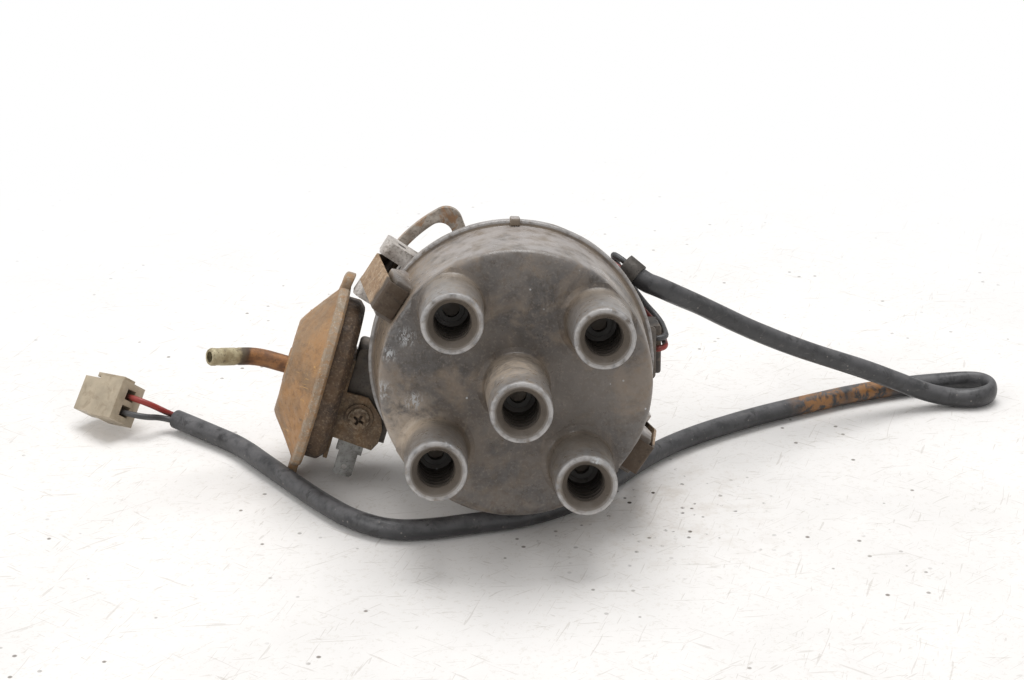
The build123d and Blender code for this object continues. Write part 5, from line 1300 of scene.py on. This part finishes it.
class DISTRIBUTOR_OT_works(bpy.types.Operator):
    """Give the works inside, the shaft and the seals their finishes"""

    bl_idname = "distributor.works"
    bl_label = "Works"

    def execute(self, context):
        painted(
            "zinc", "fixing_plate_screws", "base_plate", "base_plate_screws", "governor_plate", "weight_a",
            "weight_b",
        )
        painted("zinc", "moving_plate", "stator_screws", "link_rod")
        painted("ground", "shaft", "drive_pin", "cam_sleeve")
        painted("dark", "clip_pins", "thrust_washers", "sleeve_screw", "reluctor", "stator")
        painted("spring", "governor_springs")
        for node, (joint, way) in SPRING_AXES.items():
            shortened(node, "spring", way)
        painted("sintered", "upper_bush", "lower_bush")
        painted("rubber", "spigot_oring", "oil_seal", "cap_gasket", "diaphragm")
        painted("aluminium", "cap_terminals", "centre_terminal")
        painted("brass", "rotor_electrode", "rotor_screw", "connector_terminals")
        painted("copper", "pickup_coil")
        painted("magnet", "pickup_magnet")
        painted("carbon", "carbon_brush")
        painted("rotor", "rotor_arm")
        return {"FINISHED"}


class DISTRIBUTOR_OT_sleeve(bpy.types.Operator):
    """Lay the sleeve, its two wires and their connector on the bench"""

    bl_idname = "distributor.sleeve"
    bl_label = "Sleeve and connector"

    def execute(self, context):
        settings = context.scene.distributor_sleeve
        line = route_line(SLEEVE_ROUTE, 16)
        section = sleeve_section(settings, line)
        mesh = tube_mesh("sleeve_surface", line, section, 32, (settings.wall, SLEEVE_POCKET))
        sleeve = object_from(mesh, "sleeve_surface", "sleeve", 60)
        stand_for(sleeve, "sleeve")
        housing = eased("connector", "ivory", 0.35, 34, 3)
        for colour, points in WIRE_ROUTES.items():
            curve = spline_curve(f"wire_{colour}_curve", points, 16)
            curve.bevel_depth = WIRE_D / 2
            curve.bevel_resolution = 5
            curve.use_fill_caps = True
            curve.materials.append(FINISHES[colour])
            wire = linked(f"wire_{colour}_line", curve)
            stand_for(wire, f"wire_{colour}")
        return {"FINISHED"}


class DISTRIBUTOR_OT_stage(bpy.types.Operator):
    """Set up the bench, the light and the camera"""

    bl_idname = "distributor.stage"
    bl_label = "Bench and light"

    def execute(self, context):
        scene = context.scene
        settings = scene.distributor_stage
        floor_mesh = bpy.data.meshes.new("bench")
        reach, height = FLOOR_REACH, BENCH * MM - FLOOR_DROP
        corners = [(x * reach, y * reach, height) for x, y in ((-1, -1), (1, -1), (1, 1), (-1, 1))]
        floor_mesh.from_pydata(corners, [], [(0, 1, 2, 3)])
        floor = linked("bench", floor_mesh)
        floor_mesh.materials.append(bench_finish(settings.floor))

        world = bpy.data.worlds.new("even_light")
        scene.world = world
        world.use_nodes = True
        tree = world.node_tree
        sky = tree.nodes["Background"]
        sky.inputs["Color"].default_value = (1, 1, 1, 1)
        path, strength = tree.nodes.new("ShaderNodeLightPath"), tree.nodes.new("ShaderNodeMix")
        strength.inputs["A"].default_value = settings.sky
        strength.inputs["B"].default_value = 1.0
        tree.links.new(path.outputs["Is Camera Ray"], strength.inputs["Factor"])
        tree.links.new(strength.outputs["Result"], sky.inputs["Strength"])

        lamps = (
            ("above", (0.05, 0.32, 1.5), 1.1, settings.key),
            ("left", (-1.2, -0.75, 0.9), 0.9, settings.key * 0.3),
        )
        for name, place, size, power in lamps:
            lamp = bpy.data.lights.new(name, "AREA")
            lamp.shape, lamp.size, lamp.energy = "DISK", size, power
            made = linked(name, lamp)
            made.location = place
            made.rotation_euler = (-Vector(place)).to_track_quat("-Z", "Y").to_euler()

        camera = bpy.data.cameras.new("camera")
        camera.sensor_width, camera.lens = 36.0, settings.focal
        camera.clip_start, camera.clip_end = 0.02, 50.0
        eye = linked("camera", camera)
        turn = Matrix((CAMERA_RIGHT, CAMERA_UP, -CAMERA_AHEAD)).transposed().to_4x4()
        eye.matrix_world = Matrix.Translation(CAMERA_AT) @ turn
        scene.camera = eye
        scene.view_settings.view_transform = "Standard"
        return {"FINISHED"}


class DISTRIBUTOR_PT_panel(bpy.types.Panel):
    """Sizes and colours of the distributor"""

    bl_label = "Distributor"
    bl_idname = "DISTRIBUTOR_PT_panel"
    bl_space_type = "VIEW_3D"
    bl_region_type = "UI"
    bl_category = "Distributor"

    def draw(self, context):
        column = self.layout.column()
        for name in SETTINGS:
            settings = getattr(context.scene, name)
            for key in settings.bl_rna.properties.keys():
                if key not in ("rna_type", "name"):
                    column.prop(settings, key)
        for operator in OPERATORS:
            column.operator(operator.bl_idname)


OPERATORS = (
    DISTRIBUTOR_OT_finishes, DISTRIBUTOR_OT_cap, DISTRIBUTOR_OT_canister, DISTRIBUTOR_OT_castings,
    DISTRIBUTOR_OT_module, DISTRIBUTOR_OT_screws, DISTRIBUTOR_OT_works, DISTRIBUTOR_OT_sleeve,
    DISTRIBUTOR_OT_stage,
)
CLASSES = (*SETTINGS.values(), *OPERATORS, DISTRIBUTOR_PT_panel)


def register():
    for made in CLASSES:
        bpy.utils.register_class(made)
    for name, kind in SETTINGS.items():
        setattr(bpy.types.Scene, name, PointerProperty(type=kind))


def unregister():
    for name in SETTINGS:
        delattr(bpy.types.Scene, name)
    for made in reversed(CLASSES):
        bpy.utils.unregister_class(made)


def main():
    register()
    for operator in OPERATORS:
        family, name = operator.bl_idname.split(".")
        getattr(getattr(bpy.ops, family), name)()


if __name__ == "__main__":
    main()
